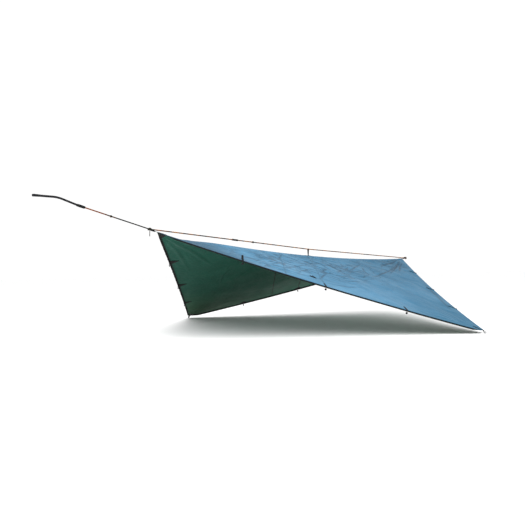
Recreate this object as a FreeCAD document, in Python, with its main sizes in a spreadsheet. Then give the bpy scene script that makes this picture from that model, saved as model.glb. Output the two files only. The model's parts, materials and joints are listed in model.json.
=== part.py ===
"""Diamond-pitched tarp shelter: a square tarp hung by one diagonal from a taut ridgeline.

Frame: origin on the ground below the centre of the tarp, +X along the ridge towards the
right-hand corner, +Y towards the rear corner, +Z up.  All sizes in millimetres.
"""
import FreeCAD
import Part
import math
import os
import Sketcher

from FreeCAD import Placement, Rotation, Vector

# Driving dimensions: alias, value or formula, meaning.
SIZES = [
    ("ridge_half", 2110, "level distance from the centre to a ridge corner"),
    ("spread", 1945, "level distance from the centre to a low corner"),
    ("left_height", 930, "height of the left ridge corner"),
    ("centre_height", 745, "height of the ridge at the centre"),
    ("right_height", 715, "height of the right ridge corner"),
    ("low_height", 12, "height that the low corners would have if they were sharp"),
    ("ridge_sag", 20, "how far the ridge drops between its supports"),
    ("hem_sag", 30, "how far a hem drops between its corners"),
    ("hem_bow", 22, "how far a hem curves in between its corners"),
    ("cloth", 3, "upright thickness of the cloth solid"),
    ("layer_gap", 0.3, "gap between layers sewn on each other"),
    ("fold_half", 30, "half width of the cloth strip that stays on the ridge"),
    ("wing_gap", 1.5, "gap between the ridge strip and a wing"),
    ("tip_cut", 50, "length of a ridge corner that belongs to the ridge strip"),
    ("tip_gap", 3, "gap between a ridge corner and the wings beside it"),
    ("corner_cut", 36, "length taken off a low corner by its blunt end"),
    ("hem_depth", 14, "depth of the hem tape below the cloth"),
    ("hem_tape", 3, "thickness of the folded hem tape"),
    ("seam_width", 14, "width of the centre seam tape"),
    ("trim", 1.5, "thickness of a patch, a strap or the seam tape"),
    ("patch_base", 100, "width of a tie-out patch at the hem"),
    ("patch_reach", 92, "length of a tie-out patch"),
    ("patch_tip", 12, "width of a tie-out patch at its inner end"),
    ("strap_reach", 84, "length of a tie-out strap on the top face"),
    ("corner_leg", 140, "length of a corner patch along each hem"),
    ("web_width", 15, "width of the webbing"),
    ("web", 2, "thickness of the webbing"),
    ("eye_radius", 4, "inner radius of a tie-out loop"),
    ("eye_drop", 12, "distance from a loop's hinge line to its eye"),
    ("hinge_gap", 1.6, "gap between the hem tape and a tie-out loop"),
    ("peg_eye_radius", 6, "inner radius of a low corner loop"),
    ("peg_eye_reach", 24, "distance from a low corner to its eye"),
    ("rope_radius", 4, "radius of the ridgeline"),
    ("rope_clearance", 0.4, "radial gap between the ridgeline and what sits on it"),
    ("knot_reach", 75, "level distance from a ridge corner to its knot"),
    ("left_knot_rise", 21, "height of the left knot above its corner"),
    ("right_knot_rise", 8, "height of the right knot above its corner"),
    ("hanger_rise", 72, "height of the ridgeline above the cloth at the centre"),
    ("hanger_clearance", 1.5, "radial gap between the ridgeline and the hanger's eye"),
    ("hanger_foot", 26, "level reach of the hanger's foot down each slope"),
    ("stay_run", 650, "level length of the ridgeline outside the left knot"),
    ("stay_rise", 148, "rise of the ridgeline outside the left knot"),
    ("rope_bend", 160, "radius of the ridgeline's bend at a knot"),
    ("knot_length", 30, "length of a corner knot"),
    ("knot_radius", "=rope_radius + 7", "outer radius of a corner knot"),
    ("hitch_length", 76, "length of the wrapped hitch on the anchor strap"),
    ("hitch_radius", "=rope_radius + 7", "outer radius of the wrapped hitch"),
    ("prusik_length", 84, "length of the long sliding hitch"),
    ("prusik_place", 1160, "distance of the long sliding hitch left of the centre"),
    ("slider_length", 26, "length of the short sliding hitch"),
    ("slider_place", 905, "distance of the short sliding hitch left of the centre"),
    ("slide_radius", "=rope_radius + 5", "outer radius of a sliding hitch"),
    ("stopper_length", 14, "length of a stopper knot"),
    ("stopper_place", 382, "distance of the stopper knot left of the left knot"),
    ("stopper_radius", "=rope_radius + 3.5", "outer radius of a stopper knot"),
    ("bead_bulge", 3, "how far a knot swells between its ends"),
    ("strap_run", 157, "level length of the rising part of the anchor strap"),
    ("strap_rise", 46, "rise of the anchor strap before it levels out"),
    ("strap_level", 170, "length of the level part of the anchor strap"),
    ("strap_bend", 260, "radius of the anchor strap's bend"),
    ("strap_web", 16, "width of the anchor strap"),
    ("anchor_eye_radius", 12, "inner radius of the anchor strap's eye"),
    ("end_loop_radius", 14, "middle radius of the loop at the ridgeline's right end"),
    ("tail_length", 48, "length of the cord tail below the left knot"),
    ("tail_radius", 3, "radius of the cord tail"),
    ("panel_loop_place", 0.82, "place of a panel loop, as a share of the seam from the centre"),
    ("panel_loop_shift", 83, "distance of a panel loop from the seam, on the short panel"),
    ("panel_loop_radius", 12, "outer radius of a panel loop's arch"),
    ("panel_loop_foot", 46, "length of a panel loop's foot"),
]
HEM_SHARES = {"1": 0.25, "2": 0.5, "3": 0.75}
SIDES = {"front": -1, "rear": 1}
ENDS = {"left": -1, "right": 1}
SKY = 4000

doc = FreeCAD.newDocument("tarp_shelter")
sheet = doc.addObject("Spreadsheet::Sheet", "Sheet")
for row, (alias, value, meaning) in enumerate(SIZES, start=1):
    sheet.set("A%d" % row, meaning)
    sheet.set("B%d" % row, str(value))
    sheet.setAlias("B%d" % row, alias)
doc.recompute()
size = {alias: float(sheet.get(alias)) for alias, value, meaning in SIZES}
nodes = []


def keep(node):
    """Label an object as a finished sub-part."""
    node.Label = node.Name
    nodes.append(node)
    return node


def keep_shape(name, shape):
    """Make a sub-part from a shape built with Part's own functions."""
    node = doc.addObject("Part::Feature", name)
    node.Shape = shape
    node.Placement = Placement()
    return keep(node)


# ---------------------------------------------------------------- cloth surface
def end_height(end):
    return size["left_height"] if end < 0 else size["right_height"]


def ridge_height(x):
    """Height of the underside of the ridge at a distance along it."""
    share = 1 - abs(x) / size["ridge_half"]
    chord = end_height(x) * (1 - share) + size["centre_height"] * share
    return chord - size["ridge_sag"] * 4 * share * (1 - share)


def fall(x):
    """How steeply the cloth falls away from the ridge at a distance along it."""
    share = 1 - abs(x) / size["ridge_half"]
    drop = size["centre_height"] - size["low_height"]
    return (drop + 4 * (1 - share) * (size["hem_sag"] - size["ridge_sag"])) / size["spread"]


def cloth_height(x, y):
    return ridge_height(x) - fall(x) * abs(y)


def profile_curve(end, y):
    """The cloth's parabolic profile over one end of the ridge, at a distance across it."""
    far = end * size["ridge_half"]
    near = end * 1e-6
    start = cloth_height(near, y)
    middle = cloth_height(far / 2, y)
    finish = cloth_height(far, y)
    curve = Part.BezierCurve()
    curve.setPoles([
        Vector(0, y, start),
        Vector(far / 2, y, 2 * middle - (start + finish) / 2),
        Vector(far, y, finish),
    ])
    return curve.toShape()


def quarter_slab(end, side, low, high):
    """One quarter of the canopy as a slab between two heights above the cloth's underside."""
    inner = profile_curve(end, 0)
    outer = profile_curve(end, side * size["spread"])
    face = Part.makeRuledSurface(inner, outer)
    slab = face.extrude(Vector(0, 0, high - low))
    slab.translate(Vector(0, 0, low))
    return slab


def prism(edges):
    """An upright prism over a closed plan outline."""
    face = Part.Face(Part.Wire(edges))
    return face.extrude(Vector(0, 0, SKY))


def polygon(points):
    """The edges of a closed plan polygon."""
    ring = [Vector(x, y, 0) for x, y in points]
    return [Part.LineSegment(a, b).toShape() for a, b in zip(ring, ring[1:] + ring[:1])]


def one_solid(shape):
    """Join the solids that share a face into one."""
    solids = shape.Solids
    joined = solids[0]
    for solid in solids[1:]:
        joined = joined.fuse(solid)
    return joined.Solids[0] if len(joined.Solids) == 1 else joined


def drape(outline, low, high, quarters):
    """The part of the cloth's layer between two heights that lies over a plan outline."""
    column = prism(outline)
    pieces = []
    for end, side in quarters:
        piece = quarter_slab(end, side, low, high).common(column)
        pieces.extend(piece.Solids)
    return one_solid(Part.makeCompound(pieces))


# ---------------------------------------------------------------- hem line in plan
def hem_point(end, side, share, inset=0.0):
    """Plan point on a hem, from its ridge corner (0) to its low corner (1), moved inwards."""
    start = Vector(end * size["ridge_half"], 0, 0)
    finish = Vector(0, side * size["spread"], 0)
    inward = hem_inward(end, side)
    bow = size["hem_bow"] * 4 * share * (1 - share)
    return start + (finish - start) * share + inward * (bow + inset)


def hem_inward(end, side):
    """Unit plan vector square to a hem's chord, towards the centre."""
    inward = Vector(-end * size["spread"], -side * size["ridge_half"], 0)
    return inward.normalize()


def hem_along(end, side):
    """Unit plan vector along a hem's chord, from the ridge corner to the low corner."""
    along = Vector(-end * size["ridge_half"], side * size["spread"], 0)
    return along.normalize()


def hem_arc(end, side, start, finish, inset=0.0):
    """A stretch of hem line in plan as one arc."""
    middle = (start + finish) / 2
    return Part.Arc(
        hem_point(end, side, start, inset),
        hem_point(end, side, middle, inset),
        hem_point(end, side, finish, inset),
    ).toShape()


def join(start, finish):
    return Part.LineSegment(start, finish).toShape()


TIP_SHARE = size["tip_cut"] / size["ridge_half"]
WING_SHARE = (size["tip_cut"] + size["tip_gap"]) / size["ridge_half"]
BLUNT_SHARE = 1 - size["corner_cut"] / size["spread"]
SEAM_SHARE = 0.5
WING_EDGE = size["fold_half"] + size["wing_gap"]


def square_frame(end, side, share):
    """Plan origin, inward and along vectors at a place on a hem."""
    return hem_point(end, side, share), hem_inward(end, side), hem_along(end, side)


def hem_patch_outline(end, side, share, near, far, near_width, far_width):
    """A tapered plan outline that runs inwards from a place on a hem."""
    origin, inward, along = square_frame(end, side, share)
    corners = [
        origin + inward * near - along * (near_width / 2),
        origin + inward * near + along * (near_width / 2),
        origin + inward * far + along * (far_width / 2),
        origin + inward * far - along * (far_width / 2),
    ]
    return polygon([(corner.x, corner.y) for corner in corners])


# ---------------------------------------------------------------- canopy cloth
def seam_crossing(side):
    """The seam's ends in plan on one wing: at the ridge strip and at the hem."""
    end = side
    outer = hem_point(end, side, SEAM_SHARE)
    inner = outer * (WING_EDGE / abs(outer.y))
    return end, inner, outer


def wing_tip(end, side):
    """The wing's narrow end at a ridge corner: on the strip's side and on the hem."""
    hem = hem_point(end, side, WING_SHARE)
    return Vector(hem.x, side * WING_EDGE, 0), hem


def cut_panel(side):
    """The wing's cloth on the short side of the seam, a triangle."""
    end, inner, outer = seam_crossing(side)
    strip, hem = wing_tip(end, side)
    edges = [
        join(strip, hem),
        hem_arc(end, side, WING_SHARE, SEAM_SHARE),
        join(outer, inner),
        join(inner, strip),
    ]
    return drape(edges, 0, size["cloth"], [(end, side)])


def whole_panel(side):
    """The wing's cloth on the long side of the seam, out to the other ridge corner."""
    end, inner, outer = seam_crossing(side)
    far_strip, far_hem = wing_tip(-end, side)
    blunt_here = hem_point(end, side, BLUNT_SHARE)
    blunt_there = hem_point(-end, side, BLUNT_SHARE)
    edges = [
        join(inner, outer),
        hem_arc(end, side, SEAM_SHARE, BLUNT_SHARE),
        join(blunt_here, blunt_there),
        hem_arc(-end, side, BLUNT_SHARE, WING_SHARE),
        join(far_hem, far_strip),
        join(far_strip, inner),
    ]
    return drape(edges, 0, size["cloth"], [(end, side), (-end, side)])


def ridge_strip():
    """The cloth that stays on the ridge, with both ridge corners."""
    half = size["fold_half"]
    edges = []
    for end in (-1, 1):
        tip_rear = hem_point(end, 1, TIP_SHARE)
        tip_front = hem_point(end, -1, TIP_SHARE)
        corner = hem_point(end, 1, 0)
        first, last = (tip_front, tip_rear) if end < 0 else (tip_rear, tip_front)
        edges.append(join(Vector(first.x, math.copysign(half, first.y), 0), first))
        edges.append(join(first, corner))
        edges.append(join(corner, last))
        edges.append(join(last, Vector(last.x, math.copysign(half, last.y), 0)))
        shift = last.x
        edges.append(join(Vector(shift, math.copysign(half, last.y), 0),
                          Vector(-shift, math.copysign(half, last.y), 0)))
    quarters = [(end, side) for end in (-1, 1) for side in (-1, 1)]
    return drape(edges, 0, size["cloth"], quarters)


def hem_tape(end, side):
    """The folded tape that hangs below one edge of the cloth."""
    inset = size["hem_tape"]
    edges = [
        hem_arc(end, side, WING_SHARE, BLUNT_SHARE),
        join(hem_point(end, side, BLUNT_SHARE), hem_point(end, side, BLUNT_SHARE, inset)),
        hem_arc(end, side, BLUNT_SHARE, WING_SHARE, inset),
        join(hem_point(end, side, WING_SHARE, inset), hem_point(end, side, WING_SHARE)),
    ]
    gap = size["layer_gap"]
    return drape(edges, -size["hem_depth"] - gap, -gap, [(end, side)])


def seam_tape(side):
    """The tape over the seam, from the ridge strip to the middle tie-out's strap."""
    end, inner, outer = seam_crossing(side)
    along = (outer - inner).normalize()
    across = Vector(-along.y, along.x, 0)
    half = size["seam_width"] / 2
    start = inner + along * size["seam_width"]
    stop = outer - along * (size["strap_reach"] + 3 * size["web_width"])
    corners = [start - across * half, start + across * half, stop + across * half, stop - across * half]
    low = size["cloth"] + size["layer_gap"]
    outline = polygon([(corner.x, corner.y) for corner in corners])
    return drape(outline, low, low + size["trim"], [(end, side)])


def tie_patches(end, side):
    """The tapered patches under the cloth at the three tie-outs of one hem."""
    near = size["hem_tape"] + 4 * size["layer_gap"]
    low = -size["layer_gap"] - size["trim"]
    pieces = []
    for share in HEM_SHARES.values():
        outline = hem_patch_outline(
            end, side, share, near, size["patch_reach"], size["patch_base"], size["patch_tip"])
        pieces.append(drape(outline, low, -size["layer_gap"], [(end, side)]))
    return Part.makeCompound(pieces)


def tie_straps(end, side):
    """The webbing straps on the top face at the three tie-outs of one hem."""
    low = size["cloth"] + size["layer_gap"]
    width = size["web_width"]
    pieces = []
    for share in HEM_SHARES.values():
        outline = hem_patch_outline(end, side, share, 0, size["strap_reach"], width, width)
        pieces.append(drape(outline, low, low + size["trim"], [(end, side)]))
    return Part.makeCompound(pieces)


def ridge_corner_patch(end):
    """The reinforcement under a ridge corner, clear of both hem tapes."""
    inset = size["hem_tape"] + 2 * size["layer_gap"]
    share = size["corner_leg"] / math.hypot(size["ridge_half"], size["spread"])
    front = hem_point(end, -1, share, inset)
    rear = hem_point(end, 1, share, inset)
    ratio = size["spread"] / size["ridge_half"]
    tip = Vector(front.x + end * abs(front.y) / ratio, 0, 0)
    low = -size["layer_gap"] - size["trim"]
    outline = polygon([(tip.x, 0), (front.x, front.y), (rear.x, rear.y)])
    return drape(outline, low, -size["layer_gap"], [(end, -1), (end, 1)])


def low_corner_patch(side):
    """The reinforcement under a low corner, clear of both hem tapes."""
    inset = size["hem_tape"] + 2 * size["layer_gap"]
    share = 1 - size["corner_leg"] / math.hypot(size["ridge_half"], size["spread"])
    outer = BLUNT_SHARE
    corners = [
        hem_point(-1, side, share, inset),
        hem_point(-1, side, outer, inset),
        hem_point(1, side, outer, inset),
        hem_point(1, side, share, inset),
    ]
    low = -size["layer_gap"] - size["trim"]
    outline = polygon([(corner.x, corner.y) for corner in corners])
    return drape(outline, low, -size["layer_gap"], [(-1, side), (1, side)])


def low_corner_strap(side):
    """The webbing strap on the top face of a low corner, in line with its loop."""
    half = size["web_width"] / 2
    outer = side * (size["spread"] - size["corner_cut"])
    inner = outer - side * size["strap_reach"]
    low = size["cloth"] + size["layer_gap"]
    outline = polygon([(-half, outer), (half, outer), (half, inner), (-half, inner)])
    return drape(outline, low, low + size["trim"], [(-1, side), (1, side)])


for side_name, side in SIDES.items():
    short_end = "left" if side < 0 else "right"
    long_end = "right" if side < 0 else "left"
    keep_shape("%s_%s_panel" % (side_name, short_end), cut_panel(side))
    keep_shape("%s_%s_panel" % (side_name, long_end), whole_panel(side))
    keep_shape("%s_seam_tape" % side_name, seam_tape(side))
    keep_shape("corner_patch_%s" % side_name, low_corner_patch(side))
    keep_shape("corner_strap_%s" % side_name, low_corner_strap(side))
    for end_name, end in ENDS.items():
        keep_shape("hem_tape_%s_%s" % (side_name, end_name), hem_tape(end, side))
        keep_shape("tie_patches_%s_%s" % (side_name, end_name), tie_patches(end, side))
        keep_shape("tie_straps_%s_%s" % (side_name, end_name), tie_straps(end, side))
for end_name, end in ENDS.items():
    keep_shape("corner_patch_%s" % end_name, ridge_corner_patch(end))
keep_shape("ridge_strip", ridge_strip())


# ---------------------------------------------------------------- bound primitives
def primitive(kind, name, placement, **bound):
    """A Part primitive whose sizes are expressions over the sheet."""
    item = doc.addObject(kind, name)
    for prop, expression in bound.items():
        item.setExpression(prop, expression)
    item.Placement = placement
    return item


def boolean(kind, name, base, tool):
    item = doc.addObject(kind, name)
    item.Base = base
    item.Tool = tool
    return item


def eye_loop(name, eye, drop, width):
    """A webbing loop: an eye round the Y axis at a drop below a stem that starts at the origin.

    eye, drop and width are expressions over the sheet.
    """
    down = Rotation(Vector(1, 0, 0), -90)
    ring = primitive("Part::Cylinder", name + "_ring", Placement(Vector(), down),
                     Radius="%s + Sheet.web" % eye, Height=width)
    hole = primitive("Part::Cylinder", name + "_hole", Placement(Vector(), down),
                     Radius=eye, Height="3 * %s" % width)
    stem = primitive("Part::Box", name + "_stem", Placement(),
                     Length="Sheet.web", Width=width, Height=drop)
    ring.setExpression("Placement.Base.y", "-0.5 * %s" % width)
    ring.setExpression("Placement.Base.z", "-1 * (%s)" % drop)
    hole.setExpression("Placement.Base.y", "-1.5 * %s" % width)
    hole.setExpression("Placement.Base.z", "-1 * (%s)" % drop)
    stem.setExpression("Placement.Base.x", "-0.5 * Sheet.web")
    stem.setExpression("Placement.Base.y", "-0.5 * %s" % width)
    stem.setExpression("Placement.Base.z", "-1 * (%s)" % drop)
    outside = boolean("Part::Fuse", name + "_outside", ring, stem)
    return boolean("Part::Cut", name, outside, hole)


def frame_placement(origin, outward, along):
    """Placement whose X axis points outwards, Y runs along the hem and Z is square to both."""
    turn = Rotation(outward, along, outward.cross(along), "XYZ")
    return Placement(origin, turn)


# ---------------------------------------------------------------- tie-out loops
def tie_loop(name, end, side, share):
    """One loop, hung from the lower edge of the hem tape."""
    step = 0.001
    before = hem_point(end, side, share - step)
    after = hem_point(end, side, share + step)
    before.z = cloth_height(before.x, before.y)
    after.z = cloth_height(after.x, after.y)
    along = (after - before).normalize()
    inward = hem_inward(end, side)
    outward = (inward * -1) - along * (inward * -1).dot(along)
    outward.normalize()
    up = outward.cross(along)
    if up.z < 0:
        along = along * -1
    origin = hem_point(end, side, share, size["hem_tape"] / 2)
    depth = size["hem_depth"] + size["layer_gap"] + size["hinge_gap"]
    origin.z = cloth_height(origin.x, origin.y) - depth
    loop = eye_loop(name, "Sheet.eye_radius", "Sheet.eye_drop", "Sheet.web_width")
    loop.Placement = frame_placement(origin, outward, along)
    return keep(loop)


for side_name, side in SIDES.items():
    for end_name, end in ENDS.items():
        for number, share in HEM_SHARES.items():
            tie_loop("tie_loop_%s_%s_%s" % (side_name, end_name, number), end, side, share)


# ---------------------------------------------------------------- corner webbing
def low_corner_loop(side):
    """The peg loop at a low corner: a short tongue from the blunt end to a round eye."""
    name = "corner_loop_%s" % ("front" if side < 0 else "rear")
    edge = size["spread"] - size["corner_cut"] + size["web"]
    level = cloth_height(0, edge) + size["cloth"] / 2
    eye = Vector(0, side * (edge + size["peg_eye_reach"]), size["peg_eye_radius"] + size["web"])
    start = Vector(0, side * edge, level)
    width = size["web_width"]
    tongue = Part.makeBox(eye.distanceToPoint(start), width, size["web"],
                          Vector(0, -width / 2, -size["web"] / 2))
    outward = (eye - start).normalize()
    across = Vector(0, 0, 1).cross(outward).normalize()
    tongue.Placement = Placement(start, Rotation(outward, across, outward.cross(across), "XYZ"))
    base = Vector(-width / 2, eye.y, eye.z)
    ring = Part.makeCylinder(size["peg_eye_radius"] + size["web"], width, base, Vector(1, 0, 0))
    hole = Part.makeCylinder(size["peg_eye_radius"], width, base, Vector(1, 0, 0))
    return keep_shape(name, tongue.fuse(ring).cut(hole))


def knot_place(end):
    """Centre of the knot beyond a ridge corner."""
    rise = size["left_knot_rise"] if end < 0 else size["right_knot_rise"]
    reach = size["ridge_half"] + size["knot_reach"]
    return Vector(end * reach, 0, end_height(end) + size["cloth"] + rise)


def ridge_corner_loop(end):
    """The webbing from a ridge corner to its knot: a foot on the cloth and a tongue."""
    name = "corner_loop_%s" % ("left" if end < 0 else "right")
    width = size["web_width"]
    foot_end = end * (size["ridge_half"] - size["web_width"])
    foot_start = foot_end - end * size["strap_reach"]
    low = size["cloth"] + size["layer_gap"]
    half = width / 2
    outline = polygon([(foot_start, -half), (foot_start, half), (foot_end, half), (foot_end, -half)])
    foot = drape(outline, low, low + size["web"], [(end, -1), (end, 1)])
    start = Vector(foot_end, 0, ridge_height(foot_end) + low + size["web"] / 2)
    knot = knot_place(end)
    run = knot - Vector(0, 0, size["rope_radius"] + size["web"] / 2) - start
    along = Vector(run).normalize()
    across = Vector(0, 1, 0)
    tongue = Part.makeBox(run.Length, width, size["web"],
                          Vector(0, -half, -size["web"] / 2))
    tongue.Placement = Placement(start, Rotation(along, across, along.cross(across), "XYZ"))
    long = size["knot_length"] / 2 + size["rope_clearance"]
    rope = Vector(end, 0, size["left_knot_rise"] / size["ridge_half"])
    socket = Part.makeCylinder(size["knot_radius"] + size["rope_clearance"], 4 * long,
                               knot - Vector(end * long, 0, 0), rope)
    return keep_shape(name, foot.fuse(tongue).cut(socket).Solids[0])


for side in SIDES.values():
    low_corner_loop(side)
for end in ENDS.values():
    ridge_corner_loop(end)


# ---------------------------------------------------------------- ridgeline and what sits on it
def tangent_path(points, radii):
    """A wire of straight runs joined by tangent arcs; prints each arc's radius."""
    edges = []
    start = points[0]
    for before, corner, after, radius in zip(points, points[1:], points[2:], radii):
        back = (before - corner).normalize()
        ahead = (after - corner).normalize()
        half_turn = (math.pi - back.getAngle(ahead)) / 2
        reach = radius * math.tan(half_turn)
        centre = corner + (back + ahead).normalize() * (radius / math.cos(half_turn))
        middle = centre + (corner - centre).normalize() * radius
        edges.append(join(start, corner + back * reach))
        edges.append(Part.Arc(corner + back * reach, middle, corner + ahead * reach).toShape())
        start = corner + ahead * reach
        print("arc of radius %.0f over %.1f degrees" % (radius, math.degrees(2 * half_turn)))
    edges.append(join(start, points[-1]))
    return Part.Wire(edges)


def sweep(profile, path):
    """A solid of a closed profile carried square to a path."""
    return path.makePipeShell([profile], True, False)


def rope_tube(path, radius):
    """A round cord along a path."""
    first = path.Edges[0]
    ahead = first.tangentAt(first.FirstParameter)
    circle = Part.Wire(Part.Circle(first.firstVertex().Point, ahead, radius).toShape())
    return sweep(circle, path)


LEFT_KNOT = knot_place(-1)
RIGHT_KNOT = knot_place(1)
CROWN = Vector(0, 0, size["centre_height"] + size["hanger_rise"])
STAY_END = LEFT_KNOT + Vector(-size["stay_run"], 0, size["stay_rise"])
ROPE_END = RIGHT_KNOT + (RIGHT_KNOT - CROWN).normalize() * (size["knot_length"] / 2)
RIDGELINE = [STAY_END, LEFT_KNOT, CROWN, ROPE_END]


def rope_turn(direction):
    """Rotation that lays the X axis along a direction in the ridge's upright plane."""
    level = Vector(0, 1, 0)
    return Rotation(direction, level, direction.cross(level), "XYZ")


def bead(name, length, radius, place, direction):
    """A knot or hitch: a barrel with a bore for the ridgeline, turned from one sketch.

    length and radius are aliases of the sheet.
    """
    body = doc.addObject("PartDesign::Body", name)
    plane = [item for item in body.Origin.OriginFeatures if item.Role == "XZ_Plane"][0]
    sketch = body.newObject("Sketcher::SketchObject", name + "_half_section")
    sketch.AttachmentSupport = [(plane, "")]
    sketch.MapMode = "FlatFace"
    half = size[length] / 2
    bore = size["rope_radius"] + size["rope_clearance"]
    shoulder = size[radius] - size["bead_bulge"]
    inner = sketch.addGeometry(Part.LineSegment(Vector(-half, bore, 0), Vector(half, bore, 0)))
    right = sketch.addGeometry(Part.LineSegment(Vector(half, bore, 0), Vector(half, shoulder, 0)))
    swell = Part.Arc(Vector(half, shoulder, 0), Vector(0, size[radius], 0), Vector(-half, shoulder, 0))
    outer = sketch.addGeometry(swell)
    left = sketch.addGeometry(Part.LineSegment(Vector(-half, shoulder, 0), Vector(-half, bore, 0)))
    for first, first_end, second, second_end in [
        (inner, 2, right, 1), (right, 2, outer, 1), (outer, 2, left, 1), (left, 2, inner, 1),
    ]:
        sketch.addConstraint(Sketcher.Constraint("Coincident", first, first_end, second, second_end))
    sketch.addConstraint(Sketcher.Constraint("Vertical", right))
    sketch.addConstraint(Sketcher.Constraint("Vertical", left))
    sketch.addConstraint(Sketcher.Constraint("Symmetric", inner, 1, inner, 2, -2))
    long = sketch.addConstraint(Sketcher.Constraint("DistanceX", inner, 1, inner, 2, 2 * half))
    deep = sketch.addConstraint(Sketcher.Constraint("DistanceY", -1, 1, inner, 1, bore))
    wall = sketch.addConstraint(Sketcher.Constraint("DistanceY", right, 1, right, 2, shoulder - bore))
    bulge = size["bead_bulge"]
    curve = sketch.addConstraint(
        Sketcher.Constraint("Radius", outer, (half ** 2 + bulge ** 2) / (2 * bulge)))
    sketch.setExpression("Constraints[%d]" % long, "Sheet.%s" % length)
    sketch.setExpression("Constraints[%d]" % deep, "Sheet.rope_radius + Sheet.rope_clearance")
    sketch.setExpression("Constraints[%d]" % wall,
                         "Sheet.%s - Sheet.bead_bulge - Sheet.rope_radius - Sheet.rope_clearance" % radius)
    sketch.setExpression("Constraints[%d]" % curve,
                         "(Sheet.%s ^ 2 / 4 + Sheet.bead_bulge ^ 2) / (2 * Sheet.bead_bulge)" % length)
    turn = body.newObject("PartDesign::Revolution", name + "_turning")
    turn.Profile = sketch
    turn.ReferenceAxis = (sketch, ["H_Axis"])
    turn.Angle = 360
    body.Placement = Placement(place, rope_turn(direction))
    return body


def on_run(start, finish, x):
    """The point of a straight run at a distance along the ridge."""
    return start + (finish - start) * ((x - start.x) / (finish.x - start.x))


STAY = (STAY_END - LEFT_KNOT).normalize() * -1
LEFT_RUN = (CROWN - LEFT_KNOT).normalize()
RIGHT_RUN = (RIGHT_KNOT - CROWN).normalize()

rope_path = tangent_path(RIDGELINE, [size["rope_bend"]] * 2)
ridgeline = keep_shape("ridgeline", rope_tube(rope_path, size["rope_radius"]))
plain_volume = math.pi * size["rope_radius"] ** 2 * rope_path.Length
print("ridgeline of %.0f mm, volume ratio %.4f" % (rope_path.Length, ridgeline.Shape.Volume / plain_volume))

left_barrel = bead("left_knot_barrel", "knot_length", "knot_radius", LEFT_KNOT, (STAY + LEFT_RUN).normalize())
rope_sleeve = doc.addObject("Part::Feature", "left_knot_sleeve")
rope_sleeve.Shape = rope_tube(rope_path, size["rope_radius"] + size["rope_clearance"])
keep(boolean("Part::Cut", "left_knot", left_barrel, rope_sleeve))
keep(bead("right_knot", "knot_length", "knot_radius", RIGHT_KNOT, RIGHT_RUN))
keep(bead("long_sliding_hitch", "prusik_length", "slide_radius",
          on_run(LEFT_KNOT, CROWN, -size["prusik_place"]), LEFT_RUN))
keep(bead("short_sliding_hitch", "slider_length", "slide_radius",
          on_run(LEFT_KNOT, CROWN, -size["slider_place"]), LEFT_RUN))


# ---------------------------------------------------------------- anchor strap, loops and tail
def anchor_strap():
    """The flat strap beyond the ridgeline's left end, with a sewn eye round an upright axis."""
    start = STAY_END - STAY * (size["hitch_length"] / 2 + size["web"] / 2)
    corner = start + Vector(-size["strap_run"], 0, size["strap_rise"])
    finish = corner + Vector(-size["strap_level"], 0, 0)
    path = tangent_path([start, corner, finish], [size["strap_bend"]])
    along = (corner - start).normalize()
    across = Vector(0, 1, 0) * (size["web"] / 2)
    upright = along.cross(Vector(0, 1, 0)).normalize() * (size["strap_web"] / 2)
    corners = [start + across + upright, start - across + upright,
               start - across - upright, start + across - upright]
    edges = [join(a, b) for a, b in zip(corners, corners[1:] + corners[:1])]
    strap = sweep(Part.Wire(edges), path)
    outer = size["anchor_eye_radius"] + size["web"]
    eye = finish - Vector(outer - size["web"] / 2, 0, size["strap_web"] / 2)
    ring = Part.makeCylinder(outer, size["strap_web"], eye)
    hole = Part.makeCylinder(size["anchor_eye_radius"], size["strap_web"], eye)
    return strap.fuse(ring).cut(hole)


def panel_loop(side):
    """A webbing arch on the short panel, on a foot that is sewn to the cloth."""
    end, inner, outer = seam_crossing(side)
    along = (outer - inner).normalize()
    across = Vector(-along.y, along.x, 0)
    place = inner + (outer - inner) * size["panel_loop_place"] - across * size["panel_loop_shift"]
    long = across * (size["panel_loop_foot"] / 2)
    wide = along * (size["web_width"] / 2)
    corners = [place + long + wide, place - long + wide, place - long - wide, place + long - wide]
    outline = polygon([(corner.x, corner.y) for corner in corners])
    low = size["cloth"] + size["layer_gap"]
    foot = drape(outline, low, low + size["web"], [(end, side)])
    radius = size["panel_loop_radius"]
    above = drape(outline, low, low + 2 * radius, [(end, side)])
    centre = place - wide + Vector(0, 0, cloth_height(place.x, place.y) + low)
    arch = Part.makeCylinder(radius, size["web_width"], centre, along)
    hole = Part.makeCylinder(radius - size["web"], size["web_width"], centre, along)
    return foot.fuse(arch.cut(hole).common(above)).Solids[0]


def ridge_hanger():
    """The webbing that carries the centre of the ridge: two feet, a stem and an eye on the line."""
    half = size["web_width"] / 2
    reach = size["hanger_foot"]
    low = size["cloth"] + size["layer_gap"]
    outline = polygon([(-half, -reach), (half, -reach), (half, reach), (-half, reach)])
    quarters = [(end, side) for end in (-1, 1) for side in (-1, 1)]
    feet = drape(outline, low, low + size["web"], quarters)
    bottom = Vector(-half, -size["web"] / 2, size["centre_height"] + low + size["web"] / 2)
    stem = Part.makeBox(size["web_width"], size["web"], CROWN.z - bottom.z, bottom)
    bore = size["rope_radius"] + size["hanger_clearance"]
    start = CROWN - Vector(half, 0, 0)
    ring = Part.makeCylinder(bore + size["web"], size["web_width"], start, Vector(1, 0, 0))
    hole = Part.makeCylinder(bore, size["web_width"], start, Vector(1, 0, 0))
    return feet.fuse(stem).fuse(ring).cut(hole)


def knot_tail():
    """The cord's free end, hanging from the left knot."""
    top = LEFT_KNOT - Vector(0, 0, size["knot_radius"] + size["rope_clearance"])
    return Part.makeCylinder(size["tail_radius"], size["tail_length"], top, Vector(0, 0, -1))


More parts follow.
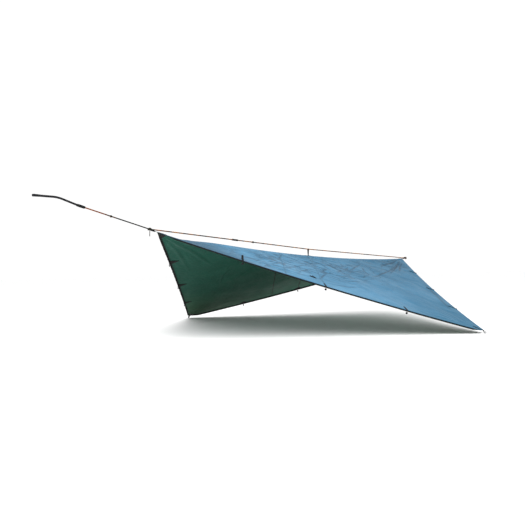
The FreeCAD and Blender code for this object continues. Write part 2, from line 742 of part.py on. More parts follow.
keep_shape("anchor_strap", anchor_strap())
keep(bead("wrapped_hitch", "hitch_length", "hitch_radius", STAY_END, STAY))
keep(bead("stopper_knot", "stopper_length", "stopper_radius",
          on_run(STAY_END, LEFT_KNOT, LEFT_KNOT.x - size["stopper_place"]), STAY))
keep_shape("knot_tail", knot_tail())
keep_shape("ridge_hanger", ridge_hanger())
for side_name, side in SIDES.items():
    keep_shape("panel_loop_%s" % side_name, panel_loop(side))

end_loop = primitive("Part::Torus", "end_loop",
                     Placement(ROPE_END, Rotation(Vector(1, 0, 0), 90)),
                     Radius1="Sheet.end_loop_radius", Radius2="Sheet.rope_radius")
loop_reach = size["end_loop_radius"] + size["rope_radius"] + size["layer_gap"]
end_loop.Placement.Base = ROPE_END + RIGHT_RUN * loop_reach
keep(end_loop)

# ---------------------------------------------------------------- checks and export
doc.recompute()
faults = []
for item in doc.Objects:
    if "Invalid" in item.State or "Error" in item.State:
        faults.append("%s is %s" % (item.Name, item.State))
for node in nodes:
    shape = node.Shape
    if shape.isNull() or not shape.isValid() or not shape.Solids:
        faults.append("%s has no valid solid" % node.Name)
    elif min(solid.Volume for solid in shape.Solids) <= 0:
        faults.append("%s has a solid without volume" % node.Name)
if faults:
    raise RuntimeError("; ".join(faults))

os.makedirs("parts", exist_ok=True)
for node in nodes:
    node.Shape.exportStep("parts/%s.step" % node.Label)
    print("%-26s solids %d  volume %9.0f" % (node.Label, len(node.Shape.Solids), node.Shape.Volume))
print("%d nodes" % len(nodes))
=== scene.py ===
"""Tarp shelter: cloth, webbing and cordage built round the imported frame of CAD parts."""
from __future__ import annotations

import json
import logging
import math
from collections.abc import Sequence
from dataclasses import dataclass
from enum import Enum

import bpy
import numpy as np
from mathutils import Matrix, Vector


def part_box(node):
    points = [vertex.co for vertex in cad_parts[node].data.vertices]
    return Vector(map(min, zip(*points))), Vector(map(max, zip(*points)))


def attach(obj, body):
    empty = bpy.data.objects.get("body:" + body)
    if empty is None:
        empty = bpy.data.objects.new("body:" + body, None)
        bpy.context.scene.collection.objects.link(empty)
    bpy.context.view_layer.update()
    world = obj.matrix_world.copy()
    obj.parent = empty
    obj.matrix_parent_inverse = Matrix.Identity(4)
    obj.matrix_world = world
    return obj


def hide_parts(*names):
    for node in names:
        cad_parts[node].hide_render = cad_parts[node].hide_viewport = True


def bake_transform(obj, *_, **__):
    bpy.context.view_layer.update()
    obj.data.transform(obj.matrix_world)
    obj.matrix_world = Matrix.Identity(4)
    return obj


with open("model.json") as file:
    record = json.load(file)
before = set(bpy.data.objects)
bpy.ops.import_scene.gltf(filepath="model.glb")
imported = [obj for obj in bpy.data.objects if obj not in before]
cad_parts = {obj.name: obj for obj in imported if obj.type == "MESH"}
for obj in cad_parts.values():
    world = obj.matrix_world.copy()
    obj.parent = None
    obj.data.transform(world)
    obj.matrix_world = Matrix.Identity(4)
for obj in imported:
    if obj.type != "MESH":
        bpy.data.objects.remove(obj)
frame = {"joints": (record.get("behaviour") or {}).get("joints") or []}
log = logging.getLogger("tarp_shelter")

Colour = tuple[float, float, float]
Plan = tuple[float, float]
Array = np.ndarray
Piece = bpy.types.Object
Socket = bpy.types.NodeSocket
Material = bpy.types.Material


class Labelled(Enum):
    """A choice with the word that the CAD's node names use."""

    @property
    def label(self) -> str:
        """The word in node names."""
        return self.name.lower()


class Side(Labelled):
    """A wing of the tarp, by the sign of its Y."""

    FRONT = -1
    REAR = 1

    @property
    def body(self) -> str:
        """The CAD body that the wing rides on."""
        return f"{self.label}_wing"


class End(Labelled):
    """An end of the ridge, by the sign of its X."""

    LEFT = -1
    RIGHT = 1


# ---------------------------------------------------------------- shaders
class Shader:
    """Builds one procedural material, node by node."""

    def __init__(self, name: str) -> None:
        """Start a material with a Principled shader.

        Args:
            name: The material's name.
        """
        self.material = bpy.data.materials.new(name)
        self.material.use_nodes = True
        self.tree = self.material.node_tree
        self.principled = self.tree.nodes["Principled BSDF"]

    def node(self, kind: str, **settings: object) -> bpy.types.Node:
        """Add a node.

        Args:
            kind: The node's type name.
            **settings: Properties to set on it.

        Returns:
            The new node.
        """
        made = self.tree.nodes.new(kind)
        for key, value in settings.items():
            setattr(made, key, value)
        return made

    def feed(self, socket: Socket, value: object) -> None:
        """Link an output into a socket, or set the socket's own value.

        Args:
            socket: The input to feed.
            value: An output socket, a number, a vector or a colour.
        """
        if isinstance(value, Socket):
            self.tree.links.new(value, socket)
        else:
            socket.default_value = value

    def place(self, scale: tuple[float, float, float] = (1, 1, 1), uv: bool = False,
              turn: float = 0.0) -> Socket:
        """Coordinates on the piece, scaled and turned.

        Args:
            scale: Scale along each axis.
            uv: Whether to read the piece's UV map in place of its Object coordinates.
            turn: Rotation about Z in radians.

        Returns:
            The vector output.
        """
        source = self.node("ShaderNodeTexCoord")
        mapping = self.node("ShaderNodeMapping")
        self.tree.links.new(source.outputs["UV" if uv else "Object"], mapping.inputs["Vector"])
        mapping.inputs["Scale"].default_value = scale
        mapping.inputs["Rotation"].default_value = (0, 0, turn)
        return mapping.outputs["Vector"]

    def noise(self, vector: Socket, scale: float, detail: float = 2.0) -> Socket:
        """Fractal noise between 0 and 1.

        Args:
            vector: Where to read it.
            scale: Its scale.
            detail: Its number of octaves.

        Returns:
            The noise's value.
        """
        made = self.node("ShaderNodeTexNoise")
        self.feed(made.inputs["Vector"], vector)
        self.feed(made.inputs["Scale"], scale)
        self.feed(made.inputs["Detail"], detail)
        return made.outputs["Fac"]

    def bands(self, vector: Socket, period: float, direction: str) -> Socket:
        """Sine bands with a period in the vector's unit.

        Args:
            vector: Where to read them.
            period: Distance from band to band.
            direction: The axis that they are square to, X, Y or DIAGONAL.

        Returns:
            The bands' value between 0 and 1.
        """
        made = self.node("ShaderNodeTexWave", wave_type="BANDS", bands_direction=direction)
        self.feed(made.inputs["Vector"], vector)
        self.feed(made.inputs["Scale"], math.pi / (10 * period))
        self.feed(made.inputs["Distortion"], 0.0)
        return made.outputs["Fac"]

    def ramp(self, value: Socket, stops: Sequence[tuple[float, Colour]]) -> Socket:
        """Colours along a value.

        Args:
            value: The value to colour.
            stops: Positions with their colours.

        Returns:
            The colour output.
        """
        made = self.node("ShaderNodeValToRGB")
        elements = made.color_ramp.elements
        while len(elements) < len(stops):
            elements.new(0.5)
        for element, (position, colour) in zip(elements, stops):
            element.position = position
            element.color = (*colour, 1)
        self.feed(made.inputs["Fac"], value)
        return made.outputs["Color"]

    def span(self, value: Socket, low: float, high: float, start: float = 0.0,
             stop: float = 1.0) -> Socket:
        """Map a value from one range to another, clamped.

        Args:
            value: The value.
            low: Value that gives start.
            high: Value that gives stop.
            start: Result at low.
            stop: Result at high.

        Returns:
            The mapped value.
        """
        made = self.node("ShaderNodeMapRange", interpolation_type="SMOOTHSTEP")
        for socket, number in zip(("From Min", "From Max", "To Min", "To Max"), (low, high, start, stop)):
            self.feed(made.inputs[socket], number)
        self.feed(made.inputs["Value"], value)
        return made.outputs["Result"]

    def maths(self, operation: str, first: object, second: object = 0.0) -> Socket:
        """Arithmetic on two values.

        Args:
            operation: The operation's name.
            first: First value or output.
            second: Second value or output.

        Returns:
            The result.
        """
        made = self.node("ShaderNodeMath", operation=operation)
        self.feed(made.inputs[0], first)
        self.feed(made.inputs[1], second)
        return made.outputs[0]

    def blend(self, share: object, first: object, second: object) -> Socket:
        """Mix two colours.

        Args:
            share: Share of the second.
            first: First colour or output.
            second: Second colour or output.

        Returns:
            The colour output.
        """
        made = self.node("ShaderNodeMix", data_type="RGBA")
        self.feed(made.inputs["Factor"], share)
        for socket, value in (("A", first), ("B", second)):
            target = [s for s in made.inputs if s.name == socket and s.type == "RGBA"][0]
            self.feed(target, value if isinstance(value, Socket) else (*value, 1))
        return [s for s in made.outputs if s.type == "RGBA"][0]

    def attribute(self, name: str) -> Socket:
        """A number stored on the piece's points."""
        return self.node("ShaderNodeAttribute", attribute_name=name).outputs["Fac"]

    def along(self, axis: str, uv: bool = False) -> Socket:
        """One coordinate of a point on the piece."""
        split = self.node("ShaderNodeSeparateXYZ")
        self.feed(split.inputs[0], self.place(uv=uv))
        return split.outputs[axis]

    def bump(self, height: Socket, distance: float, strength: float = 1.0,
             below: Socket | None = None) -> Socket:
        """A bump from a height between 0 and 1.

        Args:
            height: The height.
            distance: Its depth in metres.
            strength: Its strength.
            below: Another bump that this one lies on.

        Returns:
            The normal output.
        """
        made = self.node("ShaderNodeBump")
        self.feed(made.inputs["Height"], height)
        self.feed(made.inputs["Distance"], distance)
        self.feed(made.inputs["Strength"], strength)
        if below is not None:
            self.feed(made.inputs["Normal"], below)
        return made.outputs["Normal"]

    def finish(self, colour: object, roughness: object, normal: Socket | None = None,
               sheen: float = 0.0, specular: float = 0.5) -> Material:
        """Feed the Principled shader.

        Args:
            colour: Base colour.
            roughness: Roughness.
            normal: Bumped normal.
            sheen: Sheen weight.
            specular: Specular level.

        Returns:
            The finished material.
        """
        base = colour if isinstance(colour, Socket) else (*colour, 1)
        self.feed(self.principled.inputs["Base Color"], base)
        self.feed(self.principled.inputs["Roughness"], roughness)
        self.principled.inputs["Sheen Weight"].default_value = sheen
        self.principled.inputs["Sheen Roughness"].default_value = 0.4
        self.principled.inputs["Specular IOR Level"].default_value = specular
        if normal is not None:
            self.feed(self.principled.inputs["Normal"], normal)
        return self.material


@dataclass(frozen=True)
class ClothFinish:
    """Coated ripstop cloth, with painted shade darkening its folds.

    Its colour goes from near to far along the ridge and to low near the ground. The darker tip colour, where
    there is one, takes over at the left corner as painted shade. The fold colour is the painted shade in the
    folds, and also tints the mottle, the ripstop threads and the line along the hem.
    """

    name: str
    near: Colour
    far: Colour
    fold: Colour
    low: Colour
    roughness: float
    ripstop: float = 0.006
    hem_width: float = 0.019
    fold_share: float = 0.75
    tip: Colour | None = None

    def lines(self, shader: Shader, stretch: tuple[float, float, float], turn: float,
              width: float) -> Socket:
        """Fine fold lines, along the borders of stretched cells.

        Args:
            shader: The material.
            stretch: Cells in a metre, along each axis of the turned cloth.
            turn: The lines' main direction, as a rotation about Z.
            width: The lines' width, as a share of a cell.

        Returns:
            1 on a line and 0 away from it.
        """
        place = shader.place(turn=turn)
        wander = shader.node("ShaderNodeTexNoise")
        shader.feed(wander.inputs["Vector"], place)
        shader.feed(wander.inputs["Scale"], 5.0)
        shifted = shader.node("ShaderNodeVectorMath", operation="MULTIPLY_ADD")
        shader.feed(shifted.inputs[0], wander.outputs["Color"])
        shader.feed(shifted.inputs[1], (0.16, 0.16, 0.16))
        shader.feed(shifted.inputs[2], place)
        scaled = shader.node("ShaderNodeVectorMath", operation="MULTIPLY")
        shader.feed(scaled.inputs[0], shifted.outputs[0])
        shader.feed(scaled.inputs[1], stretch)
        cells = shader.node("ShaderNodeTexVoronoi", feature="DISTANCE_TO_EDGE")
        shader.feed(cells.inputs["Vector"], scaled.outputs[0])
        shader.feed(cells.inputs["Scale"], 1.0)
        line = shader.span(cells.outputs["Distance"], width, 0.0)
        patchy = shader.span(shader.noise(place, 7.0, 2.0), 0.36, 0.56)
        return shader.maths("MULTIPLY", line, patchy)

    def build(self) -> Material:
        """Make the cloth's material."""
        shader = Shader(self.name)
        weave_place = shader.place(uv=True)
        base = shader.blend(shader.span(shader.along("X"), -1.9, 1.6), self.near, self.far)
        if self.tip:
            # Painted shade: the cloth darkens towards the left corner.
            base = shader.blend(shader.span(shader.along("X"), -1.15, -1.85), base, self.tip)
        base = shader.blend(shader.span(shader.along("Z"), 0.42, 0.02), base, self.low)
        mottle = shader.noise(shader.place(), 2.6, 5.0)
        base = shader.blend(shader.span(mottle, 0.35, 0.7, 0.0, 0.16), base, self.fold)
        # Painted shade: crease, fan and crumple lines darken the colour towards the fold colour.
        crumple = shader.maths("MAXIMUM", self.lines(shader, (1.5, 12.0, 3.0), 0.80, 0.13),
                               self.lines(shader, (3.5, 9.0, 4.0), 0.15, 0.10))
        crumple = shader.maths("MULTIPLY", crumple, shader.attribute("crumple"))
        shade = shader.maths("MAXIMUM", crumple, shader.attribute("crease"))
        shade = shader.maths("MULTIPLY", shade, self.fold_share)
        base = shader.blend(shade, base, self.fold)
        threads = shader.maths(
            "MAXIMUM",
            shader.bands(weave_place, self.ripstop, "X"),
            shader.bands(weave_place, self.ripstop, "Y"),
        )
        threads = shader.span(threads, 0.93, 1.0)
        base = shader.blend(shader.maths("MULTIPLY", threads, 0.10), base, self.fold)
        gap = shader.attribute("hem_gap")
        line = shader.maths("ABSOLUTE", shader.maths("SUBTRACT", gap, self.hem_width))
        base = shader.blend(shader.span(line, 0.0024, 0.0008, 0.0, 0.75), base, self.fold)
        crinkle = shader.noise(shader.place((1.0, 1.6, 1.0), turn=0.6), 24.0, 6.0)
        normal = shader.bump(crinkle, 0.006, 0.55)
        normal = shader.bump(shader.maths("SUBTRACT", 1.0, crumple), 0.006, 1.0, normal)
        turned = shader.span(gap, self.hem_width + 0.001, self.hem_width - 0.001)
        normal = shader.bump(turned, 0.0008, 1.0, normal)
        normal = shader.bump(threads, 0.00025, 0.6, normal)
        roughness = shader.span(mottle, 0.3, 0.7, self.roughness - 0.06, self.roughness + 0.08)
        return shader.finish(base, roughness, normal, specular=0.15)


@dataclass(frozen=True)
class WebFinish:
    """Woven webbing or tape: ribs across, a herringbone along, faded in patches."""

    name: str
    colour: Colour
    worn: Colour
    rib: float = 0.0016
    roughness: float = 0.78

    def build(self) -> Material:
        """Make the webbing's material."""
        shader = Shader(self.name)
        place = shader.place(uv=True)
        ribs = shader.bands(place, self.rib, "X")
        yarns = shader.bands(place, self.rib * 0.8, "DIAGONAL")
        wear = shader.noise(shader.place(), 60.0, 4.0)
        colour = shader.blend(shader.span(wear, 0.45, 0.75), self.colour, self.worn)
        colour = shader.blend(shader.maths("MULTIPLY", ribs, 0.3), colour, self.worn)
        normal = shader.bump(ribs, 0.0005, 0.7)
        normal = shader.bump(yarns, 0.0003, 0.5, normal)
        return shader.finish(colour, self.roughness, normal, sheen=0.03, specular=0.12)


@dataclass(frozen=True)
class CordFinish:
    """Braided cord: a diamond braid whose carriers change colour along the line."""

    name: str
    colours: tuple[Colour, Colour, Colour]
    patch: float = 22.0
    braid: float = 0.0035

    def build(self) -> Material:
        """Make the cord's material."""
        shader = Shader(self.name)
        one_way = shader.bands(shader.place(uv=True, turn=0.7), self.braid, "X")
        other_way = shader.bands(shader.place(uv=True, turn=-0.7), self.braid, "X")
        braid = shader.maths("MAXIMUM", one_way, other_way)
        dark, middle, light = self.colours
        patches = shader.noise(shader.place((1.0, 3.0, 3.0)), self.patch, 2.0)
        stops = [(0.0, dark), (0.47, dark), (0.52, middle), (0.62, light), (1.0, light)]
        colour = shader.ramp(patches, stops)
        place = shader.along("X")
        stay = shader.maths("MULTIPLY", shader.span(place, -2.10, -2.16), shader.span(place, -2.62, -2.50))
        colour = shader.blend(stay, colour, dark)
        colour = shader.blend(shader.span(place, -2.58, -2.66, 0.0, 0.8), colour, middle)
        fleck = shader.noise(shader.place(), 420.0, 1.0)
        colour = shader.blend(shader.span(fleck, 0.52, 0.62, 0.0, 0.6), colour, dark)
        # Painted shade: the colour darkens in the braid's grooves, where the braid is low.
        colour = shader.blend(shader.span(braid, 0.7, 0.2, 0.0, 0.45), colour, dark)
        return shader.finish(colour, 0.75, shader.bump(braid, 0.0006, 0.8), sheen=0.02, specular=0.12)


@dataclass(frozen=True)
class WoundFinish:
    """Cord that is wound into hitches and knots."""

    name: str
    colour: Colour
    fleck: Colour

    def build(self) -> Material:
        """Make the wound cord's material."""
        shader = Shader(self.name)
        yarn = shader.noise(shader.place(), 900.0, 2.0)
        strands = shader.bands(shader.place(turn=0.8), 0.0012, "X")
        colour = shader.blend(shader.span(yarn, 0.5, 0.68), self.colour, self.fleck)
        normal = shader.bump(yarn, 0.0004, 0.8)
        normal = shader.bump(strands, 0.0003, 0.5, normal)
        return shader.finish(colour, 0.78, normal, sheen=0.02, specular=0.15)


@dataclass(frozen=True)
class PlainFinish:
    """Sewing thread or the studio floor, with a faint grain."""

    name: str
    colour: Colour
    shade: Colour
    grain: float
    roughness: float

    def build(self) -> Material:
        """Make the material."""
        shader = Shader(self.name)
        grain = shader.noise(shader.place(), self.grain, 3.0)
        colour = shader.blend(shader.span(grain, 0.3, 0.7), self.colour, self.shade)
        return shader.finish(colour, self.roughness, shader.bump(grain, 0.0001, 0.4), specular=0.2)


TOP = ClothFinish("top_cloth", near=(0.076, 0.228, 0.372), far=(0.030, 0.138, 0.240),
                  fold=(0.008, 0.028, 0.052), low=(0.026, 0.124, 0.212), roughness=0.55,
                  tip=(0.030, 0.092, 0.150))
# The underside's far and low colours are raised as painted light, where the lamps reach the underside less.
UNDER = ClothFinish("under_cloth", near=(0.007, 0.062, 0.042), far=(0.034, 0.150, 0.098),
                    fold=(0.008, 0.040, 0.028), low=(0.050, 0.120, 0.064), roughness=0.7,
                    hem_width=0.021)
HEM = WebFinish("hem_tape_weave", colour=(0.004, 0.006, 0.006), worn=(0.012, 0.015, 0.015))
WEB = WebFinish("black_webbing", colour=(0.004, 0.004, 0.005), worn=(0.016, 0.017, 0.019), rib=0.0022)
DOUBLED = WebFinish("double_webbing", colour=(0.006, 0.010, 0.016), worn=(0.014, 0.022, 0.030), rib=0.0022)
PATCH = WebFinish("patch_weave", colour=(0.003, 0.003, 0.003), worn=(0.008, 0.008, 0.007), rib=0.0012)
SEAM = WebFinish("seam_weave", colour=(0.076, 0.180, 0.275), worn=(0.060, 0.145, 0.225), rib=0.0012)
SEAM_UNDER = WebFinish("seam_under_weave", colour=(0.020, 0.010, 0.006), worn=(0.032, 0.018, 0.011),
                       rib=0.0012)
LINE = CordFinish("variegated_braid",
                  colours=((0.004, 0.005, 0.004), (0.200, 0.045, 0.006), (0.420, 0.170, 0.015)))
TAIL = WoundFinish("dark_cord", colour=(0.008, 0.009, 0.007), fleck=(0.050, 0.042, 0.022))
WOUND = WoundFinish("black_cord", colour=(0.003, 0.003, 0.003), fleck=(0.020, 0.022, 0.020))
BROWN = WoundFinish("brown_cord", colour=(0.032, 0.016, 0.008), fleck=(0.090, 0.045, 0.018))
THREAD = PlainFinish("sewing_thread", colour=(0.040, 0.095, 0.150), shade=(0.065, 0.150, 0.230),
                     grain=800, roughness=0.6)
DARK_THREAD = PlainFinish("dark_thread", colour=(0.012, 0.014, 0.016), shade=(0.035, 0.038, 0.042),
                          grain=800, roughness=0.6)
FLOOR = PlainFinish("studio_floor", colour=(0.97, 0.97, 0.97), shade=(0.95, 0.95, 0.95),
                    grain=3, roughness=0.9)
Finish = ClothFinish | WebFinish | CordFinish | WoundFinish | PlainFinish


class Finishes:
    """Makes each finish's material once."""

    def __init__(self) -> None:
        """Start with no materials made."""
        self.made: dict[str, Material] = {}

    def __call__(self, finish: Finish) -> Material:
        """The finish's material, made on first use."""
        if finish.name not in self.made:
            self.made[finish.name] = finish.build()
        return self.made[finish.name]


finishes = Finishes()
BOX_HALF = 0.0055  # half the width of a box of stitches
SIDEWAYS = np.array([0.0, 1.0, 0.0])  # square to every run of the line


# ---------------------------------------------------------------- mesh helpers
def linked(name: str, data: bpy.types.ID) -> Piece:
    """A new object in the scene, at the origin."""
    made = bpy.data.objects.new(name, data)
    bpy.context.scene.collection.objects.link(made)
    return made


def mesh_object(name: str, points: Array, faces: Sequence[Sequence[int]],
                uvs: Sequence[Array] | None, materials: Sequence[Material]) -> Piece:
    """Make a smooth mesh object at the origin.

    Args:
        name: Its name.
        points: Its points, one row each.
        faces: Point numbers of each face.
        uvs: For each face, the UVs of its corners.
        materials: Its material slots.

    Returns:
        The object.
    """
    mesh = bpy.data.meshes.new(name)
    mesh.from_pydata([tuple(p) for p in points], [], [tuple(f) for f in faces])
    if uvs is not None:
        layer = mesh.uv_layers.new(name="UVMap")
        layer.data.foreach_set("uv", np.concatenate([np.asarray(u, float) for u in uvs]).ravel())
    for material in materials:
        mesh.materials.append(material)
    mesh.shade_smooth()
    mesh.update()
    return linked(name, mesh)


def joined(name: str, parts: Sequence[Piece]) -> Piece:
    """Join objects into the first and rename it.

    Args:
        name: The joined object's name.
        parts: The objects.

    Returns:
        The joined object.
    """
    with bpy.context.temp_override(active_object=parts[0], selected_editable_objects=list(parts)):
        bpy.ops.object.join()
    parts[0].name = name
    parts[0].data.name = name
    return parts[0]


def baked(piece: Piece) -> Piece:
    """Replace a piece's mesh by what its modifiers make of it, and remove them."""
    bpy.context.view_layer.update()
    graph = bpy.context.evaluated_depsgraph_get()
    mesh = bpy.data.meshes.new_from_object(piece.evaluated_get(graph))
    piece.modifiers.clear()
    piece.data = mesh
    mesh.name = piece.name
    return piece


def grid_faces(rows: int, columns: int, closed: bool = False) -> list[tuple[int, int, int, int]]:
    """Quads over a grid of points stored row by row.

    Args:
        rows: Number of rows.
        columns: Points in a row.
        closed: Whether each row runs back to its start.

    Returns:
        The quads' point numbers.
    """
    last = columns if closed else columns - 1
    quads = []
    for i in range(rows - 1):
        for j in range(last):
            k = (j + 1) % columns
            quads.append((i * columns + j, i * columns + k, (i + 1) * columns + k, (i + 1) * columns + j))
    return quads


def lengths_along(path: Array) -> Array:
    """Distance of each point from the path's start."""
    steps = np.linalg.norm(np.diff(path, axis=0), axis=1)
    return np.concatenate([[0.0], np.cumsum(steps)])


def tangents(path: Array) -> Array:
    """Unit direction of a path at each of its points."""
    ahead = np.gradient(path, axis=0)
    return ahead / np.maximum(np.linalg.norm(ahead, axis=1, keepdims=True), 1e-12)


def swept(name: str, path: Array, first: Array, second: Array,
          section: Array, material: Material) -> Piece:
    """Sweep a closed section along a path, with closed ends.

    Args:
        name: The object's name.
        path: Points of the path.
        first: Unit vector of the section's first axis at each point.
        second: Unit vector of its second axis at each point.
        section: The section's points, either one outline or one for each point of the path.
        material: Its material.

    Returns:
        The object, with U in metres along the path and V in metres round the section.
    """
    outlines = np.broadcast_to(section, (len(path), *section.shape[-2:]))
    ring = path[:, None, :] + outlines[..., :1] * first[:, None, :] + outlines[..., 1:] * second[:, None, :]
    rows, columns = ring.shape[:2]
    points = ring.reshape(-1, 3)
    run = lengths_along(path)
    around = lengths_along(np.vstack([outlines[0], outlines[0][:1]]))
    faces, uvs = [], []
    for quad in grid_faces(rows, columns, closed=True):
        corners = []
        for number in quad:
            i, j = divmod(number, columns)
            corners.append([run[i], around[j]])
        if quad[1] % columns == 0:
            corners[1][1] = corners[2][1] = around[-1]
        faces.append(quad)
        uvs.append(np.array(corners))
    for start, turn in ((0, 1), ((rows - 1) * columns, -1)):
        order = list(range(start, start + columns))[::turn]
        faces.append(tuple(order))
        uvs.append(outlines[0][[number - start for number in order]])
    made = mesh_object(name, points, faces, uvs, [material])
    if shell_volume(made.data) < 0:
        made.data.flip_normals()
    return made


def shell_volume(mesh: bpy.types.Mesh) -> float:
    """Signed volume inside a closed mesh, positive where its faces point outwards."""
    mesh.calc_loop_triangles()
    points = np.array([v.co for v in mesh.vertices])
    corners = points[np.array([t.vertices for t in mesh.loop_triangles])]
    return float(np.einsum("ij,ij->", corners[:, 0], np.cross(corners[:, 1], corners[:, 2]))) / 6


def flat_section(width: float, thickness: float) -> Array:
    """A ribbon's section: a flat strip with rounded edges."""
    half, deep = width / 2, thickness / 2
    soft = min(deep, half) * 0.7
    return np.array([
        (-half, -deep + soft), (-half + soft, -deep), (0, -deep), (half - soft, -deep), (half, -deep + soft),
        (half, deep - soft), (half - soft, deep), (0, deep), (-half + soft, deep), (-half, deep - soft),
    ])


def ribbon(name: str, path: Array, across: Array, width: float, thickness: float,
           material: Material) -> Piece:
    """A strip of webbing along a path.

    Args:
        name: The object's name.
        path: Points along its middle.
        across: Unit vector of its width, one for all points or one for each.
        width: Its width.
        thickness: Its thickness.
        material: Its material.

    Returns:
        The object.
    """
    path = np.asarray(path, float)
    ahead = tangents(path)
    across = np.broadcast_to(np.asarray(across, float), path.shape)
    across = across - ahead * np.einsum("ij,ij->i", across, ahead)[:, None]
    across = across / np.linalg.norm(across, axis=1, keepdims=True)
    return swept(name, path, across, np.cross(ahead, across), flat_section(width, thickness), material)


def round_tube(name: str, path: Array, radius: float, material: Material,
               sides: int = 14) -> Piece:
    """A round cord along a path.

    Args:
        name: The object's name.
        path: Points along its middle.
        radius: Its radius.
        material: Its material.
        sides: Number of sides.

    Returns:
        The object.
    """
    ahead = tangents(path)
    frames = []
    side = Vector((0, 1, 0))
    for direction in ahead:
        forward = Vector(direction)
        side = (side - forward * side.dot(forward)).normalized()
        frames.append((np.array(side), np.array(forward.cross(side))))
    first = np.array([f[0] for f in frames])
    second = np.array([f[1] for f in frames])
    turn = np.linspace(0, 2 * math.pi, sides, endpoint=False)
    section = radius * np.stack([np.cos(turn), np.sin(turn)], axis=1)
    return swept(name, path, first, second, section, material)


def rounded(points: Sequence[Sequence[float]], radius: float, steps: int = 6) -> Array:
    """A polyline whose corners are rounded by quadratic curves.

    Args:
        points: The polyline.
        radius: Distance from each corner at which its curve starts, at most.
        steps: Points on each curve.

    Returns:
        The rounded polyline's points.
    """
    corners = [np.asarray(p, float) for p in points]
    line = [corners[0]]
    for before, corner, after in zip(corners, corners[1:], corners[2:]):
        back, ahead = before - corner, after - corner
        reach = min(radius, 0.45 * np.linalg.norm(back), 0.45 * np.linalg.norm(ahead))
        start = corner + back / np.linalg.norm(back) * reach
        stop = corner + ahead / np.linalg.norm(ahead) * reach
        for share in np.linspace(0, 1, steps):
            line.append((1 - share) ** 2 * start + 2 * share * (1 - share) * corner + share ** 2 * stop)
    line.append(corners[-1])
    return np.array(line)


def eye_path(neck: Array, eye: Array, radius: float, apart: float, steps: int = 22) -> Array:
    """A strip's middle line from a neck, once round an eye, and back to the neck.

    Args:
        neck: Plane point where the two plies meet.
        eye: Plane point at the eye's centre.
        radius: Radius of the strip's middle line round the eye.
        apart: Distance between the plies at the neck.
        steps: Points round the eye.

    Returns:
        Plane points of the line.
    """
    run = neck - eye
    reach = np.linalg.norm(run)
    run = run / reach
    side = np.array([-run[1], run[0]])
    open_half = math.acos(min(1.0, radius / reach))
    turn = np.linspace(open_half, 2 * math.pi - open_half, steps)
    ring = eye + radius * (np.cos(turn)[:, None] * run + np.sin(turn)[:, None] * side)
    return np.vstack([neck + side * apart / 2, ring, neck - side * apart / 2])


def in_space(plane: Array, origin: Sequence[float], first: Sequence[float],
             second: Sequence[float]) -> Array:
    """Carry plane points into space by an origin and two axes."""
    return np.asarray(origin) + plane[:, :1] * np.asarray(first) + plane[:, 1:] * np.asarray(second)


# ---------------------------------------------------------------- the cloth's shape
@dataclass(frozen=True)
class Crease:
    """One fold line on the cloth, in plan."""

    line: tuple[Plan, ...]
    depth: float = 0.003
    width: float = 0.014

    def offset(self, x: Array, y: Array) -> tuple[Array, Array]:
        """How the fold lifts and shades the cloth.

        Args:
            x: Plan X of each point.
            y: Plan Y of each point.

        Returns:
            The lift in metres, and a shade between 0 and 1.
        """
        nodes = np.array(self.line)
        best = np.full(x.shape, 9.0)
        signed = np.zeros(x.shape)
        place = np.zeros(x.shape)
        total = lengths_along(nodes)
        for i, (start, stop) in enumerate(zip(nodes[:-1], nodes[1:])):
            run = stop - start
            long = np.linalg.norm(run)
            share = np.clip(((x - start[0]) * run[0] + (y - start[1]) * run[1]) / long ** 2, 0, 1)
            dx, dy = x - (start[0] + share * run[0]), y - (start[1] + share * run[1])
            distance = np.hypot(dx, dy)
            nearer = distance < best
            best = np.where(nearer, distance, best)
            signed = np.where(nearer, np.sign(dx * run[1] - dy * run[0]) * distance, signed)
            place = np.where(nearer, (total[i] + share * long) / total[-1], place)
        fade = np.clip(4 * place * (1 - place), 0, 1) ** 0.6
        s = signed / self.width
        banks = 0.7 * np.exp(-((s - 1.3) / 0.9) ** 2) + 0.35 * np.exp(-((s + 1.7) / 1.1) ** 2)
        lift = banks - np.exp(-s ** 2)
        return self.depth * fade * lift, fade * np.exp(-(s / 0.75) ** 2)


@dataclass(frozen=True)
class Fan:
    """Folds that spread from a point where the cloth is pulled."""

    centre: Plan
    folds: int
    depth: float
    reach: float

    def offset(self, x: Array, y: Array) -> tuple[Array, Array]:
        """How the folds lift and shade the cloth, as for a crease."""
        dx, dy = x - self.centre[0], y - self.centre[1]
        radius = np.hypot(dx, dy)
        angle = np.arctan2(dy, dx)
        wave = np.cos(self.folds * angle + 0.6 * np.sin(3.1 * angle))
        wave = np.sign(wave) * np.abs(wave) ** 0.7
        envelope = np.clip(radius / (0.25 * self.reach), 0, 1) * np.exp(-radius / self.reach)
        return self.depth * envelope * wave, 0.35 * envelope * np.clip(-wave, 0, 1)


